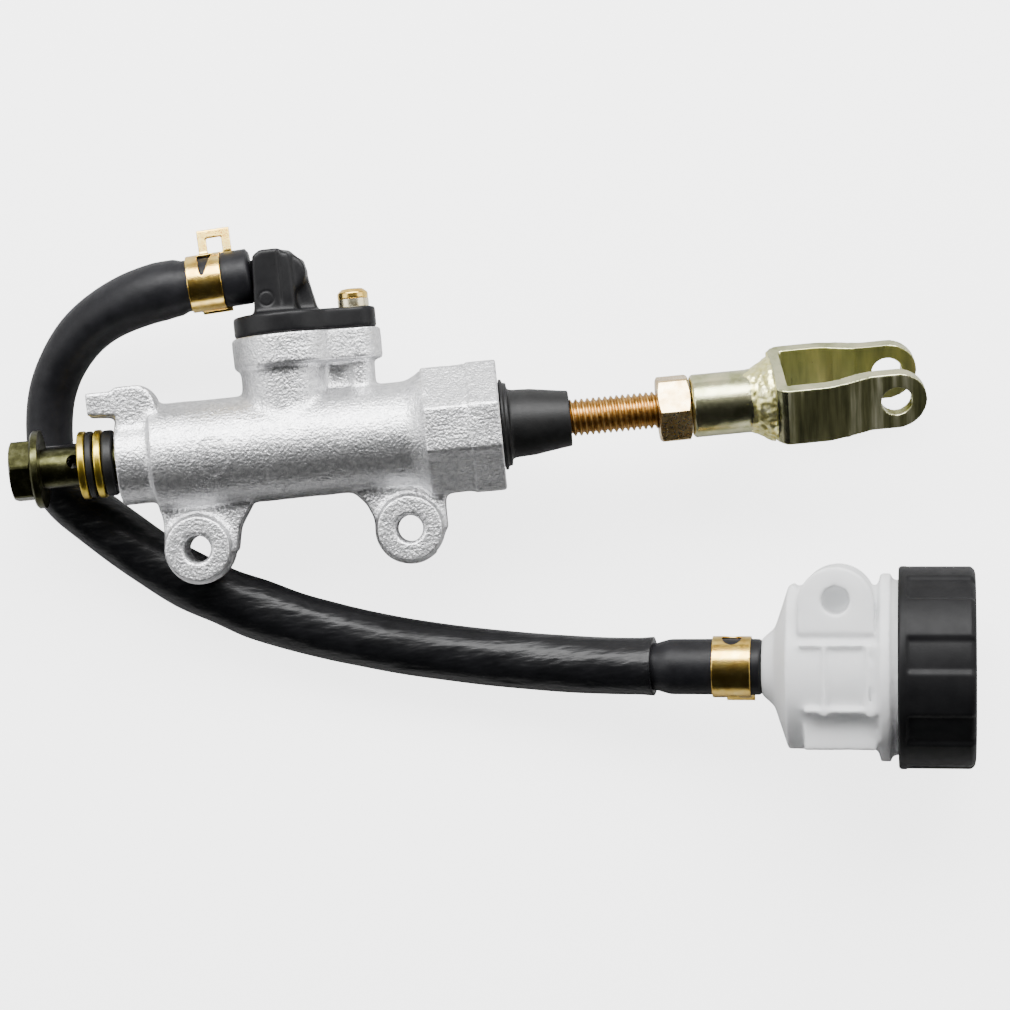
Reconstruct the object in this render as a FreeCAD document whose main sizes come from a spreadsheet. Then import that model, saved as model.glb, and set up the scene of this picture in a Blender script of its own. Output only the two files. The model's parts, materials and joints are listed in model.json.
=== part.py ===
"""Motorcycle rear brake master cylinder with a remote fluid reservoir, in millimetres.

The origin is midway between the two mounting holes, on the back faces of their lugs. +X runs along
the cylinder towards the pushrod's clevis, +Y towards the fluid inlet, and +Z away from the bracket
that the lugs bolt to. The hose and the reservoir's cap reach down to the surface that the part lies on.
"""

import FreeCAD, Part
import math
import os
import re

import Sketcher

SIZES = {
    # the cylinder's axis, measured from the mounting holes and from the lugs' back faces
    "axis_up": 20.0,
    "axis_out": 8.5,
    # mounting lugs
    "hole_spacing": 45.0,
    "lug_hole_radius": 2.8,
    "lug_boss_radius": 6.85,
    "lug_boss_depth": 14.0,
    "lug_radius": 7.3,
    "lug_depth": 9.5,
    "lug_web_back": 1.5,
    "lug_web_depth": 9.5,
    # casting
    "port_face": -37.6,
    "port_boss_radius": 9.1,
    "barrel_start": -30.0,
    "barrel_end": 28.5,
    "barrel_start_radius": 11.2,
    "barrel_end_radius": 10.9,
    "shoulder_start": 24.3,
    "shoulder_radius": 13.0,
    "flange_start": 27.8,
    "flange_step": 37.1,
    "mouth_face": 43.8,
    "flange_half": 13.4,
    "flange_corner_half": 12.65,
    "flange_end_half": 13.8,
    "flange_end_corner_half": 13.0,
    "stop_back": 3.0,
    "stop_depth": 11.5,
    "neck_along": -1.0,
    "neck_radius": 9.0,
    "inlet_bottom": 37.0,
    "inlet_face": 43.4,
    "inlet_radius": 11.5,
    "inlet_waist": 7.2,
    "screw_along": 15.0,
    "screw_boss_radius": 3.0,
    "inlet_end_radius": 4.9,
    # passages
    "bore_start": -23.5,
    "bore_radius": 6.35,
    "mouth_start": 28.6,
    "mouth_radius": 9.0,
    "thread_end": -26.0,
    "thread_radius": 4.8,
    "outlet_radius": 1.5,
    "socket_floor": 38.4,
    "socket_radius": 7.3,
    "feed_radius": 3.5,
    "feed_floor": 28.5,
    "port_radius": 0.6,
    "refill_along": 1.2,
    "port_along": -3.0,
    "tapped_radius": 1.65,
    "groove_start": 40.8,
    "groove_radius": 10.0,
    "groove_width": 1.3,
    # inlet elbow
    "elbow_radius": 11.1,
    "elbow_waist": 6.8,
    "elbow_end_radius": 4.5,
    "elbow_flange": 4.5,
    "column_left": -5.9,
    "column_right": 0.8,
    "column_top": 61.6,
    "column_depth": 11.6,
    "rib_right": 7.5,
    "rib_depth": 5.4,
    "spigot_radius": 5.6,
    "spigot_length": 4.6,
    "elbow_bore_radius": 2.6,
    "seal_wire_radius": 0.84,
    "screw_clear_radius": 1.9,
    # inlet screw
    "screw_head_radius": 3.25,
    "screw_head_length": 2.2,
    "screw_radius": 1.6,
    "screw_length": 14.0,
    "lock_washer_radius": 3.3,
    "lock_washer_length": 1.7,
    # hose, its sleeve and its clamps
    "hose_radius": 5.0,
    "hose_bore_radius": 3.0,
    "nipple_length": 14.0,
    "sleeve_radius": 6.3,
    "sleeve_bore_radius": 5.1,
    "inlet_clamp_bore": 5.45,
    "inlet_clamp_radius": 5.9,
    "inlet_clamp_offset": 6.0,
    "reservoir_clamp_bore": 6.1,
    "reservoir_clamp_radius": 6.6,
    "reservoir_clamp_offset": 2.3,
    "inlet_clamp_width": 7.3,
    "reservoir_clamp_width": 8.3,
    "clamp_tab_height": 5.7,
    "clamp_tab_inset": 3.4,
    "clamp_tab_width": 7.0,
    "clamp_window": 3.0,
    "clamp_sheet": 0.6,
    # reservoir, along its own axis from the hose's end
    "reservoir_wall": 2.0,
    "cone_middle": 2.7,
    "cone_middle_radius": 8.4,
    "shell_start": 4.9,
    "shell_radius": 17.4,
    "rim_start": 24.6,
    "rim_end": 27.4,
    "rim_radius": 20.0,
    "neck_end": 38.4,
    "spout_radius": 18.6,
    "spout_bore_radius": 15.6,
    "eye_along": 16.1,
    "eye_up": 14.0,
    "eye_radius": 8.0,
    "eye_hole_up": 15.0,
    "eye_hole_radius": 3.0,
    "eye_hole_floor": 11.5,
    "eye_front": 17.0,
    "eye_back": -6.0,
    "eye_ledge": 8.2,
    # reservoir cap, diaphragm and its plate
    "cap_start": 29.0,
    "cap_length": 16.2,
    "cap_radius": 21.6,
    "cap_bore_radius": 19.2,
    "cap_roof": 2.3,
    "cap_rim": 1.9,
    "cap_edge_round": 1.4,
    "flute_depth": 0.8,
    "flute_half_width": 3.4,
    "diaphragm_radius": 19.0,
    "diaphragm_lip": 1.5,
    "diaphragm_cup_radius": 14.6,
    "diaphragm_cup_end": 29.5,
    "diaphragm_sheet": 1.0,
    "plate_thickness": 1.1,
    # piston and what travels with it
    "piston_start": 0.5,
    "piston_end": 31.0,
    "piston_radius": 6.3,
    "nose_start": -3.6,
    "nose_radius": 2.9,
    "cup_start": -2.0,
    "cup_bore_radius": 3.0,
    "cup_radius": 6.28,
    "seat_start": -3.3,
    "seat_radius": 5.6,
    "spool_start": 4.5,
    "spool_end": 20.0,
    "spool_radius": 4.6,
    "rear_cup_start": 22.0,
    "rear_cup_end": 25.0,
    "rear_cup_floor": 4.7,
    "ball_along": 29.5,
    "ball_radius": 4.0,
    "ball_clearance": 0.15,
    "spring_start": -23.3,
    "spring_end": -3.45,
    "spring_radius": 4.5,
    "spring_wire_radius": 0.6,
    "spring_pitch": 3.3,
    # pushrod, its stop washer, circlip and boot
    "rod_waist_radius": 2.9,
    "rod_shoulder": 38.6,
    "rod_radius": 3.95,
    "rod_end": 95.0,
    "stop_washer_radius": 8.3,
    "stop_washer_length": 1.6,
    "circlip_inner_radius": 7.2,
    "circlip_radius": 9.9,
    "circlip_length": 1.1,
    "circlip_turn": 325.0,
    "boot_plug_start": 42.4,
    "boot_plug_radius": 8.9,
    "boot_lip_start": 43.9,
    "boot_lip_end": 44.6,
    "boot_lip_radius": 9.65,
    "boot_ring_end": 45.5,
    "boot_ring_radius": 8.85,
    "boot_neck_start": 46.1,
    "boot_neck_radius": 7.25,
    "boot_end": 58.5,
    "boot_end_radius": 6.0,
    "boot_bore_radius": 5.4,
    "boot_grip_start": 54.5,
    "boot_grip_radius": 4.3,
    # lock nut and clevis
    "nut_start": 77.2,
    "nut_length": 6.8,
    "nut_half_flats": 6.5,
    "rod_clear_radius": 4.1,
    "sleeve_start": 84.3,
    "barrel_radius": 6.7,
    "barrel_length": 17.3,
    "barrel_bore_end": 100.9,
    "weld_start": 97.6,
    "weld_radius": 9.0,
    "fork_twist": 29.6,
    "fork_base": 101.6,
    "fork_sheet": 2.75,
    "fork_half_width": 6.4,
    "fork_front": 7.0,
    "fork_back": -9.1,
    "fork_bend_start": 115.5,
    "fork_bend_end": 120.6,
    "ear_front": 4.0,
    "ear_back": -7.0,
    "ear_hole_along": 127.3,
    "ear_hole_radius": 3.25,
    "ear_end": 133.7,
    "fork_bend_round": 3.4,
    # banjo bolt and its seals
    "bolt_head_start": -60.5,
    "bolt_head_length": 4.75,
    "bolt_half_flats": 6.0,
    "bolt_flange_radius": 8.3,
    "bolt_flange_length": 1.7,
    "bolt_radius": 4.7,
    "bolt_waist_radius": 4.2,
    "bolt_waist_end": -45.0,
    "bolt_end": -31.0,
    "bolt_drill_radius": 2.0,
    "bolt_drill_end": -50.5,
    "bolt_cross_along": -46.95,
    "bolt_cross_radius": 1.5,
    "seal_bore_radius": 4.95,
    "seal_radius": 7.25,
    "outer_washer_start": -45.9,
    "outer_seal_start": -43.8,
    "inner_washer_start": -42.45,
    "inner_seal_start": -40.4,
    "washer_length": 2.05,
    "seal_length": 1.3,
    "inner_seal_length": 2.1,
}

# The hose's route from the elbow, down past the banjo bolt, under the left lug and on to the reservoir.
HOSE_ROUTE = [
    (-6.0, 56.7, 8.5),
    (-13.5, 56.3, 8.5),
    (-29.0, 55.3, 6.8),
    (-42.0, 50.6, 1.8),
    (-50.0, 42.5, -3.0),
    (-54.2, 33.0, -6.4),
    (-54.6, 17.0, -7.1),
    (-43.0, 6.0, -7.0),
    (-30.5, -4.6, -6.9),
    (-17.0, -12.6, -6.9),
    (-2.0, -19.1, -6.9),
    (13.5, -24.4, -6.9),
    (29.5, -28.4, -6.7),
    (46.0, -31.5, -5.5),
    (63.0, -34.1, -2.4),
    (79.5, -35.5, 1.4),
    (94.5, -36.9, 3.6),
]
# The sleeve covers the hose from the middle of one run of that route to the middle of another.
SLEEVE_RUNS = (5, 14)

NODES = []
X = FreeCAD.Vector(1, 0, 0)
Y = FreeCAD.Vector(0, 1, 0)
Z = FreeCAD.Vector(0, 0, 1)


def product(term):
    """The value of sizes and numbers joined by ' * '."""
    result = 1.0
    for factor in term.split(" * "):
        result *= SIZES[factor] if factor in SIZES else float(factor)
    return result


def amount(text):
    """The value of a short sum of sizes, such as 'cap_start + cap_length * 0.5'."""
    pieces = re.split(r" ([+-]) ", text)
    total = product(pieces[0])
    for sign, term in zip(pieces[1::2], pieces[2::2]):
        total += product(term) if sign == "+" else -product(term)
    return total


def formula(text):
    """The same sum as an expression on the spreadsheet's cells."""
    return re.sub(r"[a-z][a-z_]+", lambda word: "Sizes." + word.group(), text)


def make_sheet(doc):
    sheet = doc.addObject("Spreadsheet::Sheet", "Sizes")
    for row, (name, value) in enumerate(SIZES.items(), start=1):
        sheet.set("A%d" % row, name)
        sheet.set("B%d" % row, str(value))
        sheet.setAlias("B%d" % row, name)
    doc.recompute()


def node(solid, label):
    """Marks a finished solid as a sub-part of the assembly."""
    solid.Label = label
    NODES.append(solid)
    return solid


def place(solid, base, rotation=None):
    """Turns a solid and binds the place of its own origin to the sheet."""
    solid.Placement = FreeCAD.Placement(FreeCAD.Vector(), rotation or FreeCAD.Rotation())
    for axis, text in zip("xyz", base):
        solid.setExpression(".Placement.Base." + axis, formula(text))
    return solid


def bind(solid, **sizes):
    for name, text in sizes.items():
        solid.setExpression(name, formula(text))
    return solid


def facing(direction):
    """The rotation that points a primitive's own Z axis along a direction."""
    return FreeCAD.Rotation(Z, direction)


def cylinder(doc, name, radius, height, base, direction=Z):
    solid = bind(doc.addObject("Part::Cylinder", name), Radius=radius, Height=height)
    return place(solid, base, facing(direction))


def cone(doc, name, start_radius, end_radius, height, base, direction):
    solid = doc.addObject("Part::Cone", name)
    bind(solid, Radius1=start_radius, Radius2=end_radius, Height=height)
    return place(solid, base, facing(direction))


def box(doc, name, sizes, base, rotation=None):
    solid = bind(doc.addObject("Part::Box", name), Length=sizes[0], Width=sizes[1], Height=sizes[2])
    return place(solid, base, rotation)


def fuse(doc, name, solids):
    joined = doc.addObject("Part::MultiFuse", name)
    joined.Shapes = solids
    joined.Refine = True
    return joined


def cut(doc, name, solid, tools):
    result = doc.addObject("Part::Cut", name)
    result.Base = solid
    result.Tool = tools[0] if len(tools) == 1 else fuse(doc, name + "_tools", tools)
    return result


def origin_plane(body, role):
    return next(plane for plane in body.Origin.OriginFeatures if plane.Role == role)


def outline(body, name, corners, role="XY_Plane", offset=None):
    """A closed sketch of straight lines whose corners are all bound to the sheet."""
    sketch = body.newObject("Sketcher::SketchObject", name)
    sketch.AttachmentSupport = (origin_plane(body, role), [""])
    sketch.MapMode = "FlatFace"
    if offset:
        sketch.setExpression(".AttachmentOffset.Base.z", formula(offset))
    points = [FreeCAD.Vector(amount(across), amount(up), 0) for across, up in corners]
    for index, point in enumerate(points):
        after = points[(index + 1) % len(points)]
        sketch.addGeometry(Part.LineSegment(point, after), False)
    for index in range(len(points)):
        before = (index - 1) % len(points)
        sketch.addConstraint(Sketcher.Constraint("Coincident", before, 2, index, 1))
    for index, corner in enumerate(corners):
        bind_corner(sketch, index, "DistanceX", corner[0], -2)
        bind_corner(sketch, index, "DistanceY", corner[1], -1)
    return sketch


def bind_corner(sketch, index, kind, text, axis):
    """Holds one coordinate of a sketch's corner, or puts the corner on the sketch's axis at zero."""
    if abs(amount(text)) < 1e-9:
        sketch.addConstraint(Sketcher.Constraint("PointOnObject", index, 1, axis))
        return
    number = sketch.addConstraint(Sketcher.Constraint(kind, -1, 1, index, 1, amount(text)))
    sketch.setExpression("Constraints[%d]" % number, formula(text))


def turned(doc, name, profile, base=("0", "0", "0"), rotation=None, turn="360"):
    """A body turned about its own X axis from a closed outline of (along, radius) corners."""
    body = doc.addObject("PartDesign::Body", name)
    sketch = outline(body, name + "_profile", profile)
    turning = body.newObject("PartDesign::Revolution", name + "_turning")
    turning.Profile = sketch
    turning.ReferenceAxis = (sketch, ["H_Axis"])
    turning.setExpression("Angle", formula(turn))
    place(body, base, rotation)
    return body


def padded(doc, name, corners, depth, base=("0", "0", "0"), rotation=None, midplane=False):
    """A body padded along its own Z axis from a closed outline of corners."""
    body = doc.addObject("PartDesign::Body", name)
    pad = body.newObject("PartDesign::Pad", name + "_pad")
    pad.Profile = outline(body, name + "_outline", corners)
    pad.setExpression("Length", formula(depth))
    pad.Midplane = midplane
    body.Tip = pad
    place(body, base, rotation)
    return body


def edge_names(shape, test):
    return ["Edge%d" % number for number, edge in enumerate(shape.Edges, start=1) if test(edge)]


def round_edges(doc, body, test, radius):
    """Fillets the edges of a body's last feature that pass a test."""
    doc.recompute()
    base = body.Tip
    fillet = body.newObject("PartDesign::Fillet", body.Name + "_fillet")
    fillet.Base = (base, edge_names(base.Shape, test))
    fillet.setExpression("Radius", formula(radius))
    return body


def on_axis(along):
    """A point on the cylinder's axis."""
    return (along, "axis_up", "axis_out")


def prism(doc, name, half_flats, length, base, corner_turn):
    """A hexagon along X with turned chamfers on both ends. One corner points back, less that turn."""
    blank = doc.addObject("Part::Prism", name + "_blank")
    blank.Polygon = 6
    bind(blank, Circumradius=half_flats + " * %.6f" % (2 / math.sqrt(3)), Height=length)
    turn = FreeCAD.Rotation(Y, 90) * FreeCAD.Rotation(Z, corner_turn)
    place(blank, base, turn)
    crown = half_flats + " * 1.13"
    chamfer = half_flats + " * 0.98"
    profile = [
        ("0", "0"),
        ("0", chamfer),
        (half_flats + " * 0.08", crown),
        (length + " - " + half_flats + " * 0.08", crown),
        (length, chamfer),
        (length, "0"),
    ]
    turned_blank = turned(doc, name + "_turned", profile, base)
    hexagon = doc.addObject("Part::MultiCommon", name + "_hexagon")
    hexagon.Shapes = [blank, turned_blank]
    return hexagon


def teardrop(doc, name, radius, waist, end_radius, bottom, height):
    """A flange round the inlet that narrows to the screw, lying across the Y axis."""
    upward = FreeCAD.Vector(0, 1, 0)
    big = cylinder(doc, name + "_round", radius, height, ("0.3", bottom, "axis_out"), upward)
    tip = cylinder(doc, name + "_tip", end_radius, height, ("screw_along", bottom, "axis_out"), upward)
    corners = [
        ("2.0", radius + " - 0.2"),
        ("9.2", waist),
        ("screw_along", end_radius),
        ("screw_along", end_radius + " * -1"),
        ("9.2", waist + " * -1"),
        ("2.0", "0.2 - " + radius),
    ]
    flat = FreeCAD.Rotation(X, -90)
    middle = padded(doc, name + "_middle", corners, height, ("0", bottom, "axis_out"), flat)
    return fuse(doc, name, [big, tip, middle])


def octagon(doc, name, half, corner_half, start, end):
    """A square section along X with its four corners cut off at 45 degrees."""
    length = end + " - " + start
    square_base = (start, "axis_up - " + half, "axis_out - " + half)
    square = box(doc, name + "_square", (length, half + " * 2", half + " * 2"), square_base)
    diagonal_base = (start, "axis_up", "axis_out - " + corner_half + " * 1.4142136")
    turn = FreeCAD.Rotation(X, 45)
    sizes = (length, corner_half + " * 2", corner_half + " * 2")
    diagonal = box(doc, name + "_diagonal", sizes, diagonal_base, turn)
    section = doc.addObject("Part::MultiCommon", name)
    section.Shapes = [square, diagonal]
    return section


def make_lug(doc, name, along, web_corners):
    centre = (along, "0", "0")
    web_base = ("0", "0", "lug_web_back")
    return [
        cylinder(doc, name + "_lug", "lug_radius", "lug_depth", centre),
        cylinder(doc, name + "_boss", "lug_boss_radius", "lug_boss_depth", centre),
        padded(doc, name + "_web", web_corners, "lug_web_depth", web_base),
    ]


def make_banjo_stop(doc):
    """The cast block and finger over the outlet that keep a banjo fitting from turning."""
    block = [("-37", "24"), ("-32.8", "24"), ("-32.8", "35.6"), ("-37", "35.6")]
    finger = [("-42.9", "30"), ("-36", "29.6"), ("-36", "34.8"), ("-42.9", "34.8")]
    base = ("0", "0", "stop_back")
    round_base = ("-32.8", "31.4", "stop_back")
    return [
        padded(doc, "stop_block", block, "stop_depth", base),
        padded(doc, "stop_finger", finger, "stop_depth", base),
        cylinder(doc, "stop_round", "4.2", "stop_depth", round_base),
        box(doc, "stop_foot", ("8.4", "8", "stop_depth"), ("-36.8", "23.5", "stop_back")),
    ]


def casting_solids(doc):
    right_web = [
        ("8.6", "12.5"), ("11.2", "9.0"), ("13.9", "6.2"), ("15.3", "2.8"), ("15.4", "-0.6"),
        ("22.5", "-4"), ("30.5", "-0.6"), ("30.4", "4.2"), ("31.2", "12.5"),
    ]
    left_web = [
        ("-30.2", "12.5"), ("-29.3", "6.0"), ("-29.7", "0.5"), ("-22.5", "-4"),
        ("-14.5", "-1"), ("-13.5", "4.0"), ("-10.9", "8.0"), ("-7.6", "12.5"),
    ]
    barrel_length = "barrel_end - barrel_start"
    boss_length = "barrel_start - port_face + 1"
    inlet_base = ("neck_along", "axis_up", "axis_out")
    boss_base = ("screw_along", "axis_up + 6", "axis_out")
    web_base = ("7", "axis_up + 6", "axis_out - 1.7")
    solids = [
        cone(doc, "barrel", "barrel_start_radius", "barrel_end_radius", barrel_length,
             on_axis("barrel_start"), X),
        cylinder(doc, "port_boss", "port_boss_radius", boss_length, on_axis("port_face"), X),
        cone(doc, "shoulder", "barrel_end_radius", "shoulder_radius", "flange_start - shoulder_start + 0.4",
             on_axis("shoulder_start"), X),
        octagon(doc, "mouth_flange", "flange_half", "flange_corner_half", "flange_start", "flange_step"),
        octagon(doc, "mouth_end", "flange_end_half", "flange_end_corner_half", "flange_step",
                "mouth_face"),
        cylinder(doc, "neck", "neck_radius", "inlet_bottom - axis_up + 0.5", inlet_base, Y),
        cylinder(doc, "screw_boss", "screw_boss_radius", "inlet_bottom - axis_up - 5.5", boss_base, Y),
        box(doc, "neck_web", ("screw_along - 7", "inlet_bottom - axis_up - 5.5", "3.4"), web_base),
        teardrop(doc, "inlet_flange", "inlet_radius", "inlet_waist", "inlet_end_radius",
                 "inlet_bottom", "inlet_face - inlet_bottom"),
    ]
    solids += make_lug(doc, "left", "hole_spacing * -0.5", left_web)
    solids += make_lug(doc, "right", "hole_spacing * 0.5", right_web)
    return solids + make_banjo_stop(doc)


def casting_passages(doc):
    """The bore, its mouth and groove, the outlet thread, the inlet socket and ports, and the screw holes."""
    socket_base = ("neck_along", "socket_floor", "axis_out")
    tools = [
        cylinder(doc, "bore", "bore_radius", "mouth_start - bore_start + 1", on_axis("bore_start"), X),
        cylinder(doc, "mouth", "mouth_radius", "mouth_face - mouth_start + 1", on_axis("mouth_start"), X),
        cylinder(doc, "groove", "groove_radius", "groove_width", on_axis("groove_start"), X),
        cylinder(doc, "outlet_thread", "thread_radius", "thread_end - port_face + 1",
                 on_axis("port_face - 1"), X),
        cylinder(doc, "outlet", "outlet_radius", "6", on_axis("thread_end - 1"), X),
        cylinder(doc, "inlet_socket", "socket_radius", "inlet_face - socket_floor + 1", socket_base, Y),
        cylinder(doc, "feed", "feed_radius", "socket_floor - feed_floor + 1",
                 ("neck_along", "feed_floor", "axis_out"), Y),
        cylinder(doc, "refill_port", "port_radius * 2", "6", ("refill_along", "axis_up + 4", "axis_out"), Y),
        cylinder(doc, "relief_port", "port_radius", "6", ("port_along", "axis_up + 4", "axis_out"), Y),
        cylinder(
            doc,
            "tapped_hole",
            "tapped_radius",
            "10",
            ("screw_along", "inlet_face - 9", "axis_out"),
            Y,
        ),
    ]
    for name, side in (("left", "-0.5"), ("right", "0.5")):
        centre = "hole_spacing * " + side
        tools.append(cylinder(doc, name + "_hole", "lug_hole_radius", "lug_boss_depth + 2",
                              (centre, "0", "-1")))
        tools.append(cone(doc, name + "_chamfer", "lug_hole_radius", "lug_hole_radius + 0.8", "0.8",
                          (centre, "0", "lug_boss_depth - 0.6"), Z))
    return tools


def make_casting(doc):
    solid = fuse(doc, "casting_solid", casting_solids(doc))
    node(cut(doc, "casting", solid, casting_passages(doc)), "cylinder_casting")


def make_elbow(doc):
    """The plastic inlet: a screwed flange, a column with a sloping rib, and a hose nipple to the left."""
    flange = teardrop(doc, "elbow_flange", "elbow_radius", "elbow_waist", "elbow_end_radius",
                      "inlet_face", "elbow_flange")
    column = [
        ("column_left", "inlet_face + 2"), ("column_right", "inlet_face + 2"),
        ("column_right", "column_top"), ("column_left + 2.4", "column_top"),
        ("column_left + 0.7", "column_top - 1.2"),
    ]
    rib = [
        ("column_right - 3", "inlet_face + 2"), ("rib_right", "inlet_face + 2"),
        ("rib_right", "inlet_face + elbow_flange"), ("5.2", "column_top - 3"),
        ("2.6", "column_top - 0.4"), ("column_right - 3", "column_top - 0.1"),
    ]
    start = HOSE_ROUTE[0]
    exit_way = hose_direction(0)
    stub = FreeCAD.Vector(*start) - exit_way * 2
    stub_base = tuple("%.4f" % value for value in stub)
    into = FreeCAD.Vector(*start) - exit_way * 5
    passage_base = tuple("%.4f" % value for value in into)
    spigot_base = ("neck_along", "inlet_face - spigot_length", "axis_out")
    solids = [
        flange,
        padded(doc, "elbow_column", column, "column_depth",
               ("0", "0", "axis_out - column_depth * 0.5")),
        padded(doc, "elbow_rib", rib, "rib_depth", ("0", "0", "axis_out - rib_depth * 0.5")),
        cylinder(doc, "elbow_nipple", "hose_bore_radius", "nipple_length + 2", stub_base, exit_way),
        cylinder(doc, "elbow_spigot", "spigot_radius", "spigot_length + 1", spigot_base, Y),
    ]
    tools = [
        cylinder(doc, "nipple_passage", "hose_bore_radius - 0.9", "nipple_length + 6", passage_base,
                 exit_way),
        cylinder(doc, "elbow_passage", "elbow_bore_radius", "58 - inlet_face + spigot_length + 1",
                 ("neck_along", "inlet_face - spigot_length - 1", "axis_out"), Y),
        cylinder(doc, "elbow_screw_hole", "screw_clear_radius", "elbow_flange + 2",
                 ("screw_along", "inlet_face - 1", "axis_out"), Y),
    ]
    node(cut(doc, "elbow", fuse(doc, "elbow_solid", solids), tools), "inlet_elbow")


def make_inlet_seal(doc):
    seal = doc.addObject("Part::Torus", "inlet_seal")
    bind(seal, Radius1="spigot_radius + seal_wire_radius", Radius2="seal_wire_radius")
    place(seal, ("neck_along", "inlet_face - 2.2", "axis_out"), facing(Y))
    node(seal, "elbow_o_ring")


def make_inlet_screw(doc):
    """A pan head screw with its spring washer, both about a vertical axis."""
    upright = FreeCAD.Rotation(Z, 90)
    seat = "inlet_face + elbow_flange"
    washer = [
        ("0.03", "screw_clear_radius"), ("lock_washer_length", "screw_clear_radius"),
        ("lock_washer_length", "lock_washer_radius"), ("0.03", "lock_washer_radius"),
    ]
    node(turned(doc, "spring_washer", washer, ("screw_along", seat, "axis_out"), upright),
         "elbow_lock_washer")
    head = [
        ("screw_length * -1", "0"), ("screw_length * -1", "screw_radius - 0.4"),
        ("0.4 - screw_length", "screw_radius"), ("0", "screw_radius"), ("0", "screw_head_radius"),
        ("screw_head_length * 0.6", "screw_head_radius"),
        ("screw_head_length", "screw_head_radius - 1"), ("screw_head_length", "0"),
    ]
    base = ("screw_along", seat + " + lock_washer_length + 0.03", "axis_out")
    body = turned(doc, "pan_screw", head, base, upright)
    slots = []
    for name, turn in (("first", 30), ("second", 120)):
        spin = FreeCAD.Rotation(Y, turn)
        corner = spin.multVec(FreeCAD.Vector(-1.9, 0, -0.35))
        slot_base = (
            "screw_along + %.4f" % corner.x if corner.x > 0 else "screw_along - %.4f" % -corner.x,
            seat + " + lock_washer_length + screw_head_length - 1.1",
            "axis_out + %.4f" % corner.z if corner.z > 0 else "axis_out - %.4f" % -corner.z,
        )
        slots.append(box(doc, name + "_slot", ("3.8", "2", "0.7"), slot_base, spin))
    node(cut(doc, "inlet_screw", body, slots), "elbow_screw")


def route_points():
    return [FreeCAD.Vector(*point) for point in HOSE_ROUTE]


def hose_direction(run):
    points = route_points()
    return (points[run + 1] - points[run]).normalize()


def rounded_route():
    """The edges of the hose's centre line: a straight for each run and a tangent arc at each corner."""
    points = route_points()
    cuts = [(0.0, 0.0)]
    radii = []
    for before, corner, after in zip(points, points[1:], points[2:]):
        shorter = min((corner - before).Length, (after - corner).Length)
        cuts.append((0.45 * shorter, 0.45 * shorter))
        half_turn = (corner - before).getAngle(after - corner) / 2
        radii.append(0.45 * shorter / math.tan(half_turn))
    cuts.append((0.0, 0.0))
    edges = []
    for run in range(len(points) - 1):
        way = hose_direction(run)
        begin = points[run] + way * cuts[run][1]
        finish = points[run + 1] - way * cuts[run + 1][0]
        edges.append([Part.LineSegment(begin, finish).toShape()])
        if run + 2 < len(points):
            corner = points[run + 1]
            leave = corner + hose_direction(run + 1) * cuts[run + 1][1]
            half_turn = way.getAngle(hose_direction(run + 1)) / 2
            radius = cuts[run + 1][0] / math.tan(half_turn)
            inward = ((finish + leave) * 0.5 - corner).normalize()
            middle = corner + inward * (radius / math.cos(half_turn) - radius)
            edges[-1].append(Part.Arc(finish, middle, leave).toShape())
    return edges, radii


def pipe(edges, radius):
    """A round solid swept along a chain of edges."""
    path = Part.Wire(edges)
    start = edges[0].Vertexes[0].Point
    way = edges[0].tangentAt(edges[0].FirstParameter)
    ring = Part.Wire([Part.Circle(start, way, radius).toShape()])
    return path.makePipeShell([ring], True, False)


def shaped(doc, name, shape):
    solid = doc.addObject("Part::Feature", name)
    solid.Shape = shape
    solid.Placement = FreeCAD.Placement()
    return solid


def make_hose(doc):
    """The feed hose and the vinyl sleeve over its middle, both as plain tubes."""
    edges, radii = rounded_route()
    print("hose radii:", [round(radius, 1) for radius in radii])
    whole = [edge for run in edges for edge in run]
    length = sum(edge.Length for edge in whole)
    outer = pipe(whole, SIZES["hose_radius"])
    section = math.pi * SIZES["hose_radius"] ** 2
    print("hose length %.1f, volume over section times length %.4f"
          % (length, outer.Volume / (section * length)))
    hose = outer.cut(pipe(whole, SIZES["hose_bore_radius"]))
    node(shaped(doc, "feed_hose", hose), "hose")
    first, last = SLEEVE_RUNS
    covered = [edge for run in edges[first:last] for edge in run]
    covered.append(edges[last][0])
    sleeve = pipe(covered, SIZES["sleeve_radius"]).cut(pipe(covered, SIZES["sleeve_bore_radius"]))
    node(shaped(doc, "vinyl_sleeve", sleeve), "hose_sleeve")


def make_clamp(doc, label, point, way, bore, radius, width, tab_turn):
    """A spring band with a looped tab on top and a plain tab below."""
    upright = FreeCAD.Rotation(X, way)
    frame = upright * FreeCAD.Rotation(X, tab_turn)
    base = tuple("%.4f" % value for value in point)
    ring = [("0", bore), (width, bore), (width, radius), ("0", radius)]
    band = turned(doc, label + "_band", ring, base, frame)
    loop_corner = point + frame.multVec(FreeCAD.Vector(SIZES["clamp_tab_inset"], amount(radius) - 0.4, 0))
    loop = box(doc, label + "_loop", ("clamp_tab_width", "clamp_tab_height", "clamp_sheet"),
               tuple("%.4f" % value for value in loop_corner), frame)
    window_corner = loop_corner + frame.multVec(FreeCAD.Vector(1.8, 1.0, -0.5))
    window = box(doc, label + "_window", ("clamp_window", "clamp_window", "clamp_sheet + 1"),
                 tuple("%.4f" % value for value in window_corner), frame)
    foot_corner = point + frame.multVec(FreeCAD.Vector(3.4, -amount(radius) - 0.9, 0))
    foot = box(doc, label + "_foot", ("clamp_window", "1.2", "clamp_sheet"),
               tuple("%.4f" % value for value in foot_corner), frame)
    solid = fuse(doc, label + "_solid", [band, loop, foot])
    node(cut(doc, label + "_clamp", solid, [window]), label)


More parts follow.
